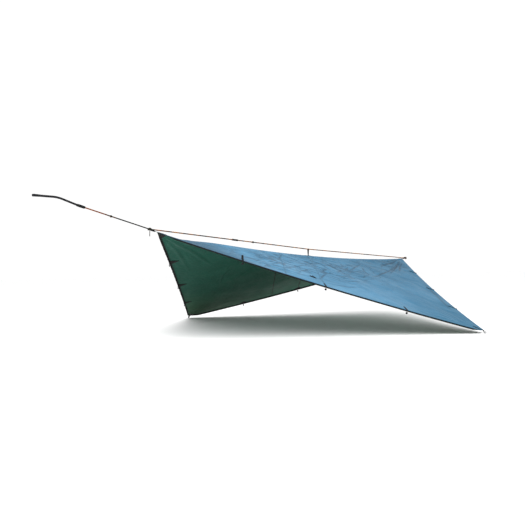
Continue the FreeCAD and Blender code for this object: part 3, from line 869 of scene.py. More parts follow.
FRONT_CREASES = (
    Crease(((-1.85, -0.17), (-1.70, -0.27), (-1.50, -0.43)), 0.0030),
    Crease(((-1.45, -0.06), (-1.27, -0.13), (-1.13, -0.21), (-0.98, -0.33)), 0.0040),
    Crease(((-1.47, -0.37), (-1.25, -0.54), (-1.12, -0.64), (-0.94, -0.78)), 0.0045),
    Crease(((-1.15, -0.14), (-1.09, -0.34), (-0.98, -0.49)), 0.0038),
    Crease(((-0.60, -0.02), (-0.50, -0.19), (-0.42, -0.34)), 0.0032),
    Crease(((-0.86, -0.28), (-0.70, -0.17), (-0.53, -0.06)), 0.0025),
    Crease(((0.0, 0.0), (0.05, -0.10), (0.08, -0.20), (0.05, -0.33)), 0.0055, 0.018),
    Crease(((-0.05, -0.03), (-0.05, -0.22), (-0.04, -0.40)), 0.0040),
    Crease(((-0.33, -0.20), (-0.40, -0.40), (-0.40, -0.60)), 0.0040),
    Crease(((-1.18, -0.58), (-0.84, -0.45), (-0.52, -0.36)), 0.0030),
    Crease(((-1.12, -0.66), (-0.98, -0.69), (-0.86, -0.76)), 0.0028),
    Crease(((-0.22, -0.18), (-0.22, -0.33), (-0.32, -0.52)), 0.0036),
    Crease(((-0.42, -0.38), (-0.40, -0.53), (-0.36, -0.74)), 0.0045),
    Crease(((0.10, -0.32), (0.25, -0.27), (0.40, -0.26), (0.36, -0.36), (0.12, -0.42)), 0.0040),
    Crease(((-0.15, -0.52), (0.02, -0.56), (0.12, -0.62), (0.36, -0.56)), 0.0040),
    Crease(((-0.42, -0.62), (-0.18, -0.66), (0.05, -0.72)), 0.0030),
    Crease(((-0.88, -0.77), (-0.66, -0.66), (-0.49, -0.58)), 0.0030),
    Crease(((0.20, -0.42), (0.45, -0.32), (0.72, -0.21)), 0.0036),
    Crease(((0.55, -0.34), (0.43, -0.43), (0.28, -0.61)), 0.0036),
    Crease(((1.96, -0.03), (1.50, -0.15), (1.10, -0.24)), 0.0060, 0.020),
    Crease(((1.94, -0.06), (1.55, -0.22), (1.15, -0.38)), 0.0055, 0.020),
    Crease(((1.90, -0.10), (1.50, -0.25), (0.91, -0.48)), 0.0050, 0.018),
    Crease(((1.98, -0.02), (1.70, -0.06), (1.40, -0.12)), 0.0050, 0.016),
    Crease(((1.90, -0.13), (1.60, -0.24), (1.25, -0.42)), 0.0045, 0.018),
    Crease(((-0.88, -0.86), (-0.72, -0.92), (-0.50, -0.95)), 0.0025),
    Crease(((-0.50, -0.74), (-0.38, -0.80), (-0.06, -0.80)), 0.0030),
    Crease(((0.20, -0.66), (0.70, -0.50), (1.20, -0.34), (1.62, -0.19)), 0.0040, 0.018),
    Crease(((1.20, -0.75), (0.78, -1.10), (0.33, -1.47)), 0.0014, 0.016),
    Crease(((1.31, -0.65), (0.94, -0.99), (0.59, -1.31)), 0.0012, 0.016),
)
REAR_CREASES = (
    Crease(((0.0, 0.0), (-0.05, 0.15), (-0.12, 0.34)), 0.0040, 0.018),
    Crease(((0.05, 0.04), (0.20, 0.22), (0.42, 0.36)), 0.0035),
    Crease(((-1.95, 0.04), (-1.50, 0.22), (-1.05, 0.42)), 0.0040, 0.020),
    Crease(((-1.90, 0.10), (-1.55, 0.33), (-1.20, 0.60)), 0.0030, 0.020),
    Crease(((1.95, 0.03), (1.45, 0.18), (1.00, 0.36)), 0.0040, 0.020),
    Crease(((1.90, 0.08), (1.50, 0.28), (1.15, 0.52)), 0.0032, 0.018),
    Crease(((0.95, 0.52), (0.62, 0.66), (0.30, 0.70)), 0.0030),
    Crease(((-0.35, 0.25), (-0.48, 0.45), (-0.44, 0.70)), 0.0030),
    Crease(((-0.80, 0.35), (-0.70, 0.62), (-0.52, 0.85)), 0.0026),
    Crease(((0.30, 1.05), (0.12, 1.30), (0.04, 1.62)), 0.0022, 0.020),
)
FANS = {
    Side.FRONT: (
        Fan((2.12, 0.0), 34, 0.0075, 0.42), Fan((-2.12, 0.0), 30, 0.0045, 0.30),
        Fan((0.0, 0.01), 16, 0.0060, 0.22), Fan((0.0, -1.95), 24, 0.0050, 0.26),
    ),
    Side.REAR: (
        Fan((2.12, 0.0), 34, 0.0060, 0.40), Fan((-2.12, 0.0), 30, 0.0045, 0.32),
        Fan((0.0, -0.01), 16, 0.0060, 0.22), Fan((0.0, 1.95), 24, 0.0050, 0.28),
    ),
}


@dataclass(frozen=True)
class TarpShape:
    """The pitched cloth's plan and heights, in metres."""

    ridge_half: float = 2.110
    spread: float = 1.945
    left_height: float = 0.930
    centre_height: float = 0.745
    right_height: float = 0.715
    low_height: float = 0.012
    ridge_sag: float = 0.020
    hem_sag: float = 0.030
    hem_bow: float = 0.022
    corner_cut: float = 0.036
    middle: float = 0.0015
    fold_softness: float = 0.004
    tip_share: float = 0.0020
    tape_start: float = 0.0251
    tape_stop: float = 0.9815
    dip: float = 0.022
    dip_place: float = 1.84
    dip_reach: float = 0.26

    def ridge_height(self, x: Array) -> Array:
        """Height of the ridge's underside at a distance along it."""
        share = 1 - np.abs(x) / self.ridge_half
        end = np.where(x < 0, self.left_height, self.right_height)
        return end * (1 - share) + self.centre_height * share - self.ridge_sag * 4 * share * (1 - share)

    def plain(self, x: Array, y: Array) -> Array:
        """Height of the unwrinkled cloth's middle."""
        share = 1 - np.abs(x) / self.ridge_half
        drop = self.centre_height - self.low_height
        fall = (drop + 4 * (1 - share) * (self.hem_sag - self.ridge_sag)) / self.spread
        away = np.sqrt(y ** 2 + self.fold_softness ** 2) - self.fold_softness
        slack = np.exp(-((x + self.dip_place) / self.dip_reach) ** 2 - np.abs(y) / 0.25)
        slack = slack * np.clip(self.hem_gap(x, y) / 0.12, 0, 1)
        return self.ridge_height(x) - fall * away - self.dip * slack + self.middle

    def hem(self, end: End, side: Side, share: Array | float, inset: float = 0.0) -> Array:
        """Plan point on a hem, from its ridge corner (0) to its low corner (1), moved inwards."""
        share = np.asarray(share, float)
        inward = self.inward(end, side)
        bow = self.hem_bow * 4 * share * (1 - share) + inset
        x = end.value * self.ridge_half * (1 - share) + inward[0] * bow
        y = side.value * self.spread * share + inward[1] * bow
        return np.stack([x, y], axis=-1)

    def inward(self, end: End, side: Side) -> Array:
        """Unit plan vector square to a hem, towards the cloth."""
        vector = np.array([-end.value * self.spread, -side.value * self.ridge_half])
        return vector / np.linalg.norm(vector)

    def along(self, end: End, side: Side) -> Array:
        """Unit plan vector along a hem, towards the low corner."""
        vector = np.array([-end.value * self.ridge_half, side.value * self.spread])
        return vector / np.linalg.norm(vector)

    def rim(self, side: Side, share: Array) -> Array:
        """Plan points round a wing's free edge, from the left corner (0) to the right (1)."""
        left = self.hem(End.LEFT, side, np.clip(2 * share, 0, 1))
        right = self.hem(End.RIGHT, side, np.clip(2 - 2 * share, 0, 1))
        points = np.where(share[:, None] < 0.5, left, right)
        limit = self.spread - self.corner_cut
        points[:, 1] = np.clip(points[:, 1], -limit, limit)
        return points

    def hem_gap(self, x: Array, y: Array) -> Array:
        """Plan distance to the nearest hem."""
        level = np.abs(x) / self.ridge_half + np.abs(y) / self.spread
        long = math.hypot(self.ridge_half, self.spread)
        square = (1 - level) * self.ridge_half * self.spread / long
        share = np.clip(np.abs(y) / self.spread, 0, 1)
        gap = square - self.hem_bow * 4 * share * (1 - share)
        return np.minimum(gap, self.spread - self.corner_cut - np.abs(y))


@dataclass
class Cloth:
    """The cloth as it hangs: its plain shape with every fold."""

    shape: TarpShape

    def folds(self, x: Array, y: Array, side: Side) -> tuple[Array, Array]:
        """The folds' lift and shade on one wing.

        Args:
            x: Plan X of each point.
            y: Plan Y of each point.
            side: The wing.

        Returns:
            The lift in metres and the shade between 0 and 1.
        """
        lift = np.zeros(np.shape(x))
        shade = np.zeros(np.shape(x))
        creases = FRONT_CREASES if side is Side.FRONT else REAR_CREASES
        for fold in (*creases, *FANS[side]):
            more, darker = fold.offset(x, y)
            lift = lift + more
            shade = np.maximum(shade, darker)
        random = np.random.default_rng(11 if side is Side.FRONT else 23)
        for length in np.geomspace(0.09, 0.8, 22):
            angle = random.normal(0.75 * side.value, 0.55)
            phase = random.uniform(0, 2 * math.pi)
            wave = (x * math.cos(angle) + y * math.sin(angle)) * 2 * math.pi / length + phase
            swell = 0.0040 if side is Side.FRONT else 0.0012
            lift = lift + swell * length ** 1.1 * np.sin(wave + 0.8 * np.sin(2.3 * x + phase))
        gap = np.clip(self.shape.hem_gap(x, y), 0, None)
        calm = np.clip(gap / 0.10, 0, 1) ** 0.8 * np.clip(np.abs(y) / 0.05, 0, 1)
        strength = 1.0 if side is Side.FRONT else 0.45
        return lift * calm, np.clip(strength * shade * (0.2 + 0.8 * calm), 0, 1)

    def crumple(self, x: Array, y: Array, side: Side) -> Array:
        """How crumpled the cloth is, between 0 and 1: most round the centre and at the right corner."""
        if side is Side.REAR:
            return np.full(x.shape, 0.15)
        middle = np.exp(-((x + 0.25) / 0.85) ** 2 - ((y + 0.35) / 0.42) ** 2)
        corner = np.exp(-((x - 1.35) / 0.55) ** 2 - ((y + 0.22) / 0.22) ** 2)
        near_left = np.exp(-((x + 1.25) / 0.45) ** 2 - ((y + 0.42) / 0.30) ** 2)
        amount = 0.12 + 0.95 * middle + 0.6 * corner + 0.45 * near_left
        return np.clip(amount, 0, 1) * np.clip(self.shape.hem_gap(x, y) / 0.05, 0, 1)

    def height(self, x: Array, y: Array, side: Side) -> Array:
        """Height of the cloth's middle."""
        return self.shape.plain(x, y) + self.folds(x, y, side)[0]

    def raised(self, plan: Array, side: Side, offset: float) -> Array:
        """Points at a height above the cloth's middle.

        Args:
            plan: Plan points, in the last axis.
            side: The wing.
            offset: Height above the cloth's middle.

        Returns:
            The points in space.
        """
        z = self.height(plan[..., 0], plan[..., 1], side) + offset
        return np.concatenate([plan, z[..., None]], axis=-1)

    def slab(self, name: str, plan: Array, side: Side, low: float, high: float,
             material: Material) -> Piece:
        """A layer that lies on or under the cloth.

        Args:
            name: The object's name.
            plan: A grid of plan points.
            side: The wing.
            low: Height of its lower face above the cloth's middle.
            high: Height of its upper face.
            material: Its material.

        Returns:
            The object.
        """
        rows, columns = plan.shape[:2]
        upper = self.raised(plan, side, high).reshape(-1, 3)
        lower = self.raised(plan, side, low).reshape(-1, 3)
        count = rows * columns
        faces = grid_faces(rows, columns)
        faces += [tuple(number + count for number in quad[::-1]) for quad in grid_faces(rows, columns)]
        rim = [j for j in range(columns)]
        rim += [i * columns + columns - 1 for i in range(1, rows)]
        rim += [(rows - 1) * columns + j for j in range(columns - 2, -1, -1)]
        rim += [i * columns for i in range(rows - 2, 0, -1)]
        faces += [(b, a, a + count, b + count) for a, b in zip(rim, rim[1:] + rim[:1])]
        points = np.vstack([upper, lower])
        uvs = [points[list(face)][:, :2] for face in faces]
        made = mesh_object(name, points, faces, uvs, [material])
        if shell_volume(made.data) < 0:
            made.data.flip_normals()
        return made


# ---------------------------------------------------------------- geometry node tools
class NodeMaker:
    """Builds one geometry node tree with named inputs."""

    def __init__(self, name: str, numbers: Sequence[str]) -> None:
        """Start a tree that takes a geometry, some numbers and a material, and gives a geometry.

        Args:
            name: The tree's name.
            numbers: Names of the inputs that are numbers.
        """
        self.tree = bpy.data.node_groups.new(name, "GeometryNodeTree")
        self.tree.interface.new_socket("Geometry", in_out="INPUT", socket_type="NodeSocketGeometry")
        for number in numbers:
            self.tree.interface.new_socket(number, in_out="INPUT", socket_type="NodeSocketFloat")
        self.tree.interface.new_socket("Material", in_out="INPUT", socket_type="NodeSocketMaterial")
        self.tree.interface.new_socket("Geometry", in_out="OUTPUT", socket_type="NodeSocketGeometry")
        self.source = self.tree.nodes.new("NodeGroupInput")
        self.sink = self.tree.nodes.new("NodeGroupOutput")

    def node(self, kind: str, links: dict[str, object] | None = None, **settings: object) -> bpy.types.Node:
        """Add a node and feed its inputs.

        Args:
            kind: The node's type name.
            links: Input name to an output socket or a value.
            **settings: Properties to set on it.

        Returns:
            The new node.
        """
        made = self.tree.nodes.new(kind)
        for key, value in settings.items():
            setattr(made, key, value)
        for key, value in (links or {}).items():
            if isinstance(value, Socket):
                self.tree.links.new(value, made.inputs[key])
            else:
                made.inputs[key].default_value = value
        return made

    def end(self, geometry: Socket) -> bpy.types.NodeTree:
        """Realize the instances, set the material, and close the tree."""
        real = self.node("GeometryNodeRealizeInstances", {"Geometry": geometry})
        smooth = self.node("GeometryNodeSetShadeSmooth", {"Geometry": real.outputs[0]})
        painted = self.node("GeometryNodeSetMaterial", {
            "Geometry": smooth.outputs[0], "Material": self.source.outputs["Material"],
        })
        self.tree.links.new(painted.outputs[0], self.sink.inputs[0])
        return self.tree


def stitch_tree() -> bpy.types.NodeTree:
    """Stitches laid end to end along the edges of a mesh."""
    maker = NodeMaker("stitch_rows", ("Pitch", "Stitch", "Thread"))
    given = maker.source.outputs
    line = maker.node("GeometryNodeMeshToCurve", {"Mesh": given["Geometry"]})
    even = maker.node("GeometryNodeResampleCurve", {
        "Curve": line.outputs[0], "Length": given["Pitch"],
    }, mode="LENGTH")
    seed = maker.node("GeometryNodeMeshUVSphere", {"Segments": 6, "Rings": 4, "Radius": 0.5})
    tangent = maker.node("GeometryNodeInputTangent")
    turn = maker.node("FunctionNodeAlignEulerToVector", {"Vector": tangent.outputs[0]}, axis="X")
    scale = maker.node("ShaderNodeCombineXYZ", {
        "X": given["Stitch"], "Y": given["Thread"], "Z": given["Thread"],
    })
    rows = maker.node("GeometryNodeInstanceOnPoints", {
        "Points": even.outputs[0], "Instance": seed.outputs[0],
        "Rotation": turn.outputs[0], "Scale": scale.outputs[0],
    })
    return maker.end(rows.outputs[0])


def coil_tree() -> bpy.types.NodeTree:
    """A cord wound in a close helix along Z."""
    maker = NodeMaker("wound_coil", ("Turns", "Coil Radius", "Cord Radius", "Length"))
    given = maker.source.outputs
    spiral = maker.node("GeometryNodeCurveSpiral", {
        "Resolution": 20, "Rotations": given["Turns"], "Start Radius": given["Coil Radius"],
        "End Radius": given["Coil Radius"], "Height": given["Length"],
    })
    ring = maker.node("GeometryNodeCurvePrimitiveCircle", {"Resolution": 10, "Radius": given["Cord Radius"]})
    cord = maker.node("GeometryNodeCurveToMesh", {
        "Curve": spiral.outputs[0], "Profile Curve": ring.outputs[0], "Fill Caps": True,
    })
    return maker.end(cord.outputs[0])


def run_tree(piece: Piece, tree: bpy.types.NodeTree, values: dict[str, object]) -> Piece:
    """Run a node tree on a piece and keep the plain mesh.

    Args:
        piece: The object that the tree reads.
        tree: The tree.
        values: Input name to value.

    Returns:
        The piece, with the tree's mesh and no modifier.
    """
    modifier = piece.modifiers.new(tree.name, "NODES")
    modifier.node_group = tree
    sockets = {item.name: item.identifier for item in tree.interface.items_tree
               if item.item_type == "SOCKET" and item.in_out == "INPUT"}
    for name, value in values.items():
        modifier[sockets[name]] = value
    return baked(piece)


@dataclass
class Sewing:
    """Rows of stitches, one piece for each body."""

    finish: PlainFinish
    pitch: float = 0.0055
    stitch: float = 0.0042
    thread: float = 0.0010

    def __post_init__(self) -> None:
        """Make the tree and start with no rows."""
        self.tree = stitch_tree()
        self.rows: dict[str, list[Array]] = {}

    def row(self, body: str, points: Array) -> None:
        """Add a row of stitches along points to a body."""
        self.rows.setdefault(body, []).append(np.asarray(points, float))

    def box(self, body: str, corners: Sequence[Array]) -> None:
        """Add a box of stitches with a cross in it, on four corners."""
        a, b, c, d = (np.asarray(corner, float) for corner in corners)
        self.row(body, np.array([a, b, c, d, a]))
        self.row(body, np.array([a, c]))
        self.row(body, np.array([b, d]))

    def build(self) -> list[Piece]:
        """Make one object of stitches for each body."""
        made = []
        for body, rows in self.rows.items():
            points, edges = [], []
            for row in rows:
                first = len(points)
                points.extend(tuple(p) for p in row)
                edges.extend((i, i + 1) for i in range(first, first + len(row) - 1))
            mesh = bpy.data.meshes.new(f"stitches_{body}")
            mesh.from_pydata(points, edges, [])
            piece = linked(f"stitches_{body}", mesh)
            run_tree(piece, self.tree, {
                "Pitch": self.pitch, "Stitch": self.stitch, "Thread": self.thread,
                "Material": finishes(self.finish),
            })
            made.append(piece)
            log.info("stitches on %s: %d rows, %d faces", body, len(rows), len(piece.data.polygons))
        return made


# ---------------------------------------------------------------- wings
@dataclass
class Wing:
    """One wing of the tarp: its cloth, tapes, patches, straps and stitches."""

    side: Side
    cloth: Cloth
    sewing: Sewing
    columns: int = 340
    rows: int = 116
    thickness: float = 0.0009
    blend_reach: float = 0.28
    tape_depth: float = 0.0142
    tape_wall: float = 0.0018
    patch_base: float = 0.100
    patch_tip: float = 0.012
    patch_reach: float = 0.092
    patch_depth: float = 0.0014
    layer_gap: float = 0.0002
    strap_reach: float = 0.084
    web_width: float = 0.015
    web: float = 0.0018
    hem_row: float = 0.008
    side_seam_share: float = 0.38
    slack_rise: float = 0.040
    double_width: float = 0.025
    double_web: float = 0.0034
    band_width: float = 0.017
    panel_patch: Plan = (0.056, 0.066)

    def __post_init__(self) -> None:
        """Start the stitch rows that lie on the cloth."""
        self.loose_sewing = Sewing(THREAD)

    def blend(self, piece: Piece) -> Piece:
        """Bake a piece's placement into its mesh; it is not bent from the ridge to the wing."""
        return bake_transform(piece, "ridge", self.side.body, start=(0, 0, 0),
                        end=(0, self.side.value * self.blend_reach, 0))

    def seam_end(self) -> End:
        """The ridge end whose hem the seams run to."""
        return End.LEFT if self.side is Side.FRONT else End.RIGHT

    def seam(self) -> tuple[Array, Array]:
        """The centre seam's ends in plan, at the ridge and at the hem."""
        return np.zeros(2), self.cloth.shape.hem(self.seam_end(), self.side, 0.5)

    def build_cloth(self) -> Piece:
        """Make the cloth: one curved sheet from the ridge to both hems."""
        shape = self.cloth.shape
        share = np.linspace(shape.tip_share, 1 - shape.tip_share, self.columns)
        rim = shape.rim(self.side, share)
        down = np.linspace(0, 1, self.rows)
        x = np.repeat(rim[None, :, 0], self.rows, axis=0)
        y = down[:, None] * rim[None, :, 1]
        lift, shade = self.cloth.folds(x, y, self.side)
        z = shape.plain(x, y) + lift
        points = np.stack([x, y, z], axis=-1).reshape(-1, 3)
        slope = np.hypot(y, z - shape.ridge_height(x))
        flat = np.stack([x + slope * self.side.value, slope * self.side.value - x], axis=-1) / math.sqrt(2)
        flat = flat.reshape(-1, 2)
        faces = grid_faces(self.rows, self.columns)
        if self.side is Side.FRONT:
            faces = [face[::-1] for face in faces]
        uvs = [flat[list(face)] for face in faces]
        piece = mesh_object(f"{self.side.label}_canopy", points, faces, uvs, [finishes(TOP), finishes(UNDER)])
        crumple = self.cloth.crumple(x, y, self.side)
        # The crease attribute carries the painted shade of the creases and fans to the material.
        for name, values in (("crease", shade), ("crumple", crumple), ("hem_gap", shape.hem_gap(x, y))):
            store = piece.data.attributes.new(name, "FLOAT", "POINT")
            store.data.foreach_set("value", np.asarray(values, np.float32).ravel())
        solid = piece.modifiers.new("thickness", "SOLIDIFY")
        solid.thickness = self.thickness
        solid.offset = 0
        solid.material_offset = 1
        baked(piece)
        label = self.side.label
        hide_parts(f"{label}_left_panel", f"{label}_right_panel")
        if self.side is Side.FRONT:
            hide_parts("ridge_strip")
        self.blend(piece)
        return piece

    def hem_frame(self, end: End, share: Array, inset: float) -> tuple[Array, Array]:
        """Points on the hem at an inset, and the inward direction as a space vector."""
        plan = self.cloth.shape.hem(end, self.side, share, inset)
        inward = np.append(self.cloth.shape.inward(end, self.side), 0.0)
        return self.cloth.raised(plan, self.side, 0.0), inward

    def build_hem_tape(self, end: End) -> Piece:
        """Make the folded tape below one hem, slightly curled, and its band under the cloth."""
        shape = self.cloth.shape
        share = np.linspace(shape.tape_start, shape.tape_stop, 180)
        path, inward = self.hem_frame(end, share, 0.0)
        drop = np.array([0.0, 0.25, 0.5, 0.75, 1.0])
        curl = 0.0010 * np.sin(math.pi * drop) - 0.0012 * drop ** 2
        ripple = 0.0007 * np.sin(2 * math.pi * share * 23) + 0.0005 * np.sin(2 * math.pi * share * 41 + 1)
        ends = np.clip(np.minimum(share - share[0], share[-1] - share) / 0.025, 0.12, 1.0)
        sections = []
        for wave, fall in zip(ripple, self.tape_depth * ends):
            outer = np.stack([0.0002 - curl + wave * drop, -0.0004 - fall * drop], axis=1)
            inner = outer[::-1] + np.array([self.tape_wall, 0.0])
            sections.append(np.vstack([outer, inner]))
        up = np.broadcast_to((0.0, 0.0, 1.0), path.shape)
        skirt = swept(f"hem_tape_{self.side.label}_{end.label}_web", path,
                      np.broadcast_to(inward, path.shape), up, np.array(sections), finishes(HEM))
        insets = np.linspace(0.0006, self.band_width, 4)
        plan = np.stack([shape.hem(end, self.side, share, inset) for inset in insets])
        band = self.cloth.slab(f"hem_band_{self.side.label}_{end.label}", plan, self.side,
                               -self.thickness / 2 - 0.0004, -self.thickness / 2 - 0.0001, finishes(HEM))
        piece = joined(skirt.name, [skirt, band])
        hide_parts(f"hem_tape_{self.side.label}_{end.label}")
        row = self.hem_frame(end, share, self.hem_row)[0] + np.array([0, 0, self.thickness / 2])
        self.loose_sewing.row(self.side.body, row)
        self.blend(piece)
        return piece

    def patch_under(self, name: str, plan: Array) -> Piece:
        """A reinforcement patch close under the cloth, over a grid of plan points."""
        top = -self.thickness / 2 - self.layer_gap
        return self.cloth.slab(name, plan, self.side, top - self.patch_depth, top, finishes(PATCH))

    def tapered_plan(self, end: End, share: float, near: float, far: float, widths: Plan,
                     rows: int = 12, columns: int = 5) -> Array:
        """A grid of plan points that runs inwards from a place on a hem."""
        shape = self.cloth.shape
        origin = shape.hem(end, self.side, share)
        inward, along = shape.inward(end, self.side), shape.along(end, self.side)
        grid = np.zeros((rows, columns, 2))
        for i, part in enumerate(np.linspace(0, 1, rows)):
            half = (widths[0] * (1 - part) + widths[1] * part) / 2
            for j, across in enumerate(np.linspace(-half, half, columns)):
                grid[i, j] = origin + inward * (near + (far - near) * part) + along * across
        return grid

    def build_tie_outs(self, end: End) -> list[Piece]:
        """Make the patches under the cloth and the straps over it, three of each."""
        patches, straps = [], []
        label = f"{self.side.label}_{end.label}"
        for number, share in enumerate((0.25, 0.5, 0.75), start=1):
            plan = self.tapered_plan(end, share, 0.0032, self.patch_reach, (self.patch_base, self.patch_tip))
            patches.append(self.patch_under(f"patch_{label}_{number}", plan))
            straps.append(self.build_strap(end, share, f"strap_{label}_{number}"))
        patch = joined(f"tie_patches_{label}_cloth", patches)
        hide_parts(f"tie_patches_{label}")
        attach(patch, self.side.body)
        strap = joined(f"tie_straps_{label}_web", straps)
        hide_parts(f"tie_straps_{label}")
        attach(strap, self.side.body)
        return [patch, strap]

    def build_strap(self, end: End, share: float, name: str) -> Piece:
        """Make one tie-out strap, sewn on the cloth and turned down over the hem tape."""
        shape = self.cloth.shape
        doubled = (self.side, end) == (Side.FRONT, End.RIGHT)
        width, web = (self.double_width, self.double_web) if doubled else (self.web_width, self.web)
        lift = self.thickness / 2 + web / 2 + self.layer_gap
        inset = np.linspace(self.strap_reach, 0.0, 14)
        plan = shape.hem(end, self.side, share) + inset[:, None] * shape.inward(end, self.side)
        over = self.cloth.raised(plan, self.side, lift)
        if (self.side, end, share) == (Side.FRONT, End.LEFT, 0.25):
            over[:, 2] += self.slack_rise * np.sin(math.pi * np.clip(inset / 0.055, 0, 1)) ** 0.8
        edge = over[-1]
        inward = np.append(shape.inward(end, self.side), 0.0)
        outside = edge - inward * (lift + 0.0003)
        low = outside + np.array([0, 0, -lift - self.tape_depth - 0.0005])
        turned = rounded([over[-2], edge - inward * (lift + 0.0003) * 0.9, low], 0.004, 7)
        path = np.vstack([over[:-1], turned[1:]])
        across = np.append(shape.along(end, self.side), 0.0)
        corners = []
        for reach in (0.010, 0.034):
            for part in (-0.36, 0.36):
                point = shape.hem(end, self.side, share) + reach * shape.inward(end, self.side)
                point = point + shape.along(end, self.side) * part * self.web_width
                corners.append(self.cloth.raised(point, self.side, lift + web / 2))
        a, b, d, c = corners
        self.sewing.box(self.side.body, (a, b, c, d))
        return ribbon(name, path, across, width, web, finishes(DOUBLED if doubled else WEB))

    def seam_strip(self, name: str, line: Array, across: Array, width: float, heights: Plan,
                   finish: WebFinish) -> Piece:
        """A narrow strip that follows a line on the cloth, shaped to the cloth's surface.

        Args:
            name: Its name.
            line: Plan points along its middle.
            across: Unit plan vector of its width.
            width: Its width.
            heights: Heights of its two faces above the cloth's middle.
            finish: Its finish.

        Returns:
            The strip.
        """
        sides = np.linspace(-width / 2, width / 2, 3)
        plan = line[:, None, :] + sides[None, :, None] * across
        piece = self.cloth.slab(name, plan, self.side, *heights, finishes(finish))
        return self.blend(piece)

    def build_seam(self) -> list[Piece]:
        """Make the seam tape on top with its two rows of stitches, and the felled seam below."""
        inner, outer = self.seam()
        long = np.linalg.norm(outer - inner)
        ahead = (outer - inner) / long
        across = np.array([-ahead[1], ahead[0]])
        label = self.side.label
        half = self.thickness / 2
        stop = long - self.strap_reach - 0.004

        def line(start: float, end: float, count: int) -> Array:
            """Plan points along the seam between two distances from the ridge."""
            return inner + np.linspace(start, end, count)[:, None] * ahead

        tape = self.seam_strip(f"{label}_seam_tape_web", line(0.050, stop, 90), across, 0.013,
                               (half, half + 0.0008), SEAM)
        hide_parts(f"{label}_seam_tape")
        below = self.seam_strip(f"{label}_felled_seam", line(0.050, long - 0.004, 90), across, 0.006,
                                (-half - 0.0007, -half), SEAM_UNDER)
        for shift in (-0.0048, 0.0048):
            row = line(0.30, stop, 70) + shift * across
            self.loose_sewing.row(self.side.body, self.cloth.raised(row, self.side, half + 0.0009))
        return [tape, below]

    def build_side_seam(self) -> list[Piece]:
        """Make the felled seam beside the centre one: a fold of the cloth on both faces, with stitches."""
        end = self.seam_end()
        shape = self.cloth.shape
        share = self.side_seam_share if self.side is Side.FRONT else 1 - self.side_seam_share
        outer = shape.hem(end, self.side, share)
        way = np.array([shape.ridge_half, shape.spread]) * self.side.value
        inner = outer - way * abs(outer[1]) / shape.spread
        run = outer - inner
        across = np.array([-run[1], run[0]]) / np.linalg.norm(run)
        half = self.thickness / 2
        line = inner + np.linspace(0.03, 0.985, 80)[:, None] * run
        made = [
            self.seam_strip(f"{self.side.label}_side_seam", line, across, 0.009,
                            (half, half + 0.0006), SEAM),
            self.seam_strip(f"{self.side.label}_side_seam_under", line, across, 0.006,
                            (-half - 0.0007, -half), SEAM_UNDER),
        ]
        for shift in (-0.0028, 0.0028):
            row = self.cloth.raised(line + shift * across, self.side, half + 0.0007)
            self.loose_sewing.row(self.side.body, row)
        return made

    def build_panel_loop(self) -> list[Piece]:
        """Make the small webbing arch that is sewn to the cloth beside the seam, on its patch."""
        label = self.side.label
        inner, outer = self.seam()
        ahead = (outer - inner) / np.linalg.norm(outer - inner)
        across = np.array([-ahead[1], ahead[0]])
        low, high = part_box(f"panel_loop_{label}")
        centre = np.array([(low.x + high.x) / 2, (low.y + high.y) / 2])
        radius = 0.0104
        lift = self.thickness / 2 + 0.0010 + self.double_web / 2
        feet = [self.cloth.raised(centre + across * part, self.side, lift) for part in (-0.022, -0.013)]
        feet_back = [self.cloth.raised(centre + across * part, self.side, lift) for part in (0.013, 0.022)]
        base = (feet[1] + feet_back[0]) / 2
        side_way = (feet_back[0] - feet[1]) / np.linalg.norm(feet_back[0] - feet[1])
        turn = np.linspace(math.pi, 0, 13)
        arch = in_space(radius * np.stack([np.cos(turn), np.sin(turn)], axis=1), base, side_way, (0, 0, 1))
        path = np.vstack([feet, arch, feet_back])
        sides = np.linspace(-self.panel_patch[0] / 2, self.panel_patch[0] / 2, 5)
        depths = np.linspace(-self.panel_patch[1] / 2, self.panel_patch[1] / 2, 5)
        plan = centre + sides[:, None, None] * across + depths[None, :, None] * ahead
        patch = self.cloth.slab(f"panel_patch_{label}", plan, self.side, self.thickness / 2,
                                self.thickness / 2 + 0.0008, finishes(PATCH))
        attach(patch, self.side.body)
        piece = ribbon(f"panel_loop_{label}_web", path, np.append(ahead, 0.0), self.web_width,
                       self.double_web, finishes(WEB))
        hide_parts(f"panel_loop_{label}")
        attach(piece, self.side.body)
        return [patch, piece]

    def build_ridge_patch(self, end: End) -> Piece:
        """Make this wing's half of the patch under a ridge corner."""
        shape = self.cloth.shape
        share = np.linspace(0.008, 0.049, 10)
        rim = shape.hem(end, self.side, share, 0.0026)
        grid = rim[:, None, :] * np.stack([np.ones(7), np.linspace(0.02, 1, 7)], axis=1)[None, :, :]
        piece = self.patch_under(f"corner_patch_{end.label}_{self.side.label}", grid)
        if self.side is Side.FRONT:
            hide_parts(f"corner_patch_{end.label}")
        self.blend(piece)
        return piece

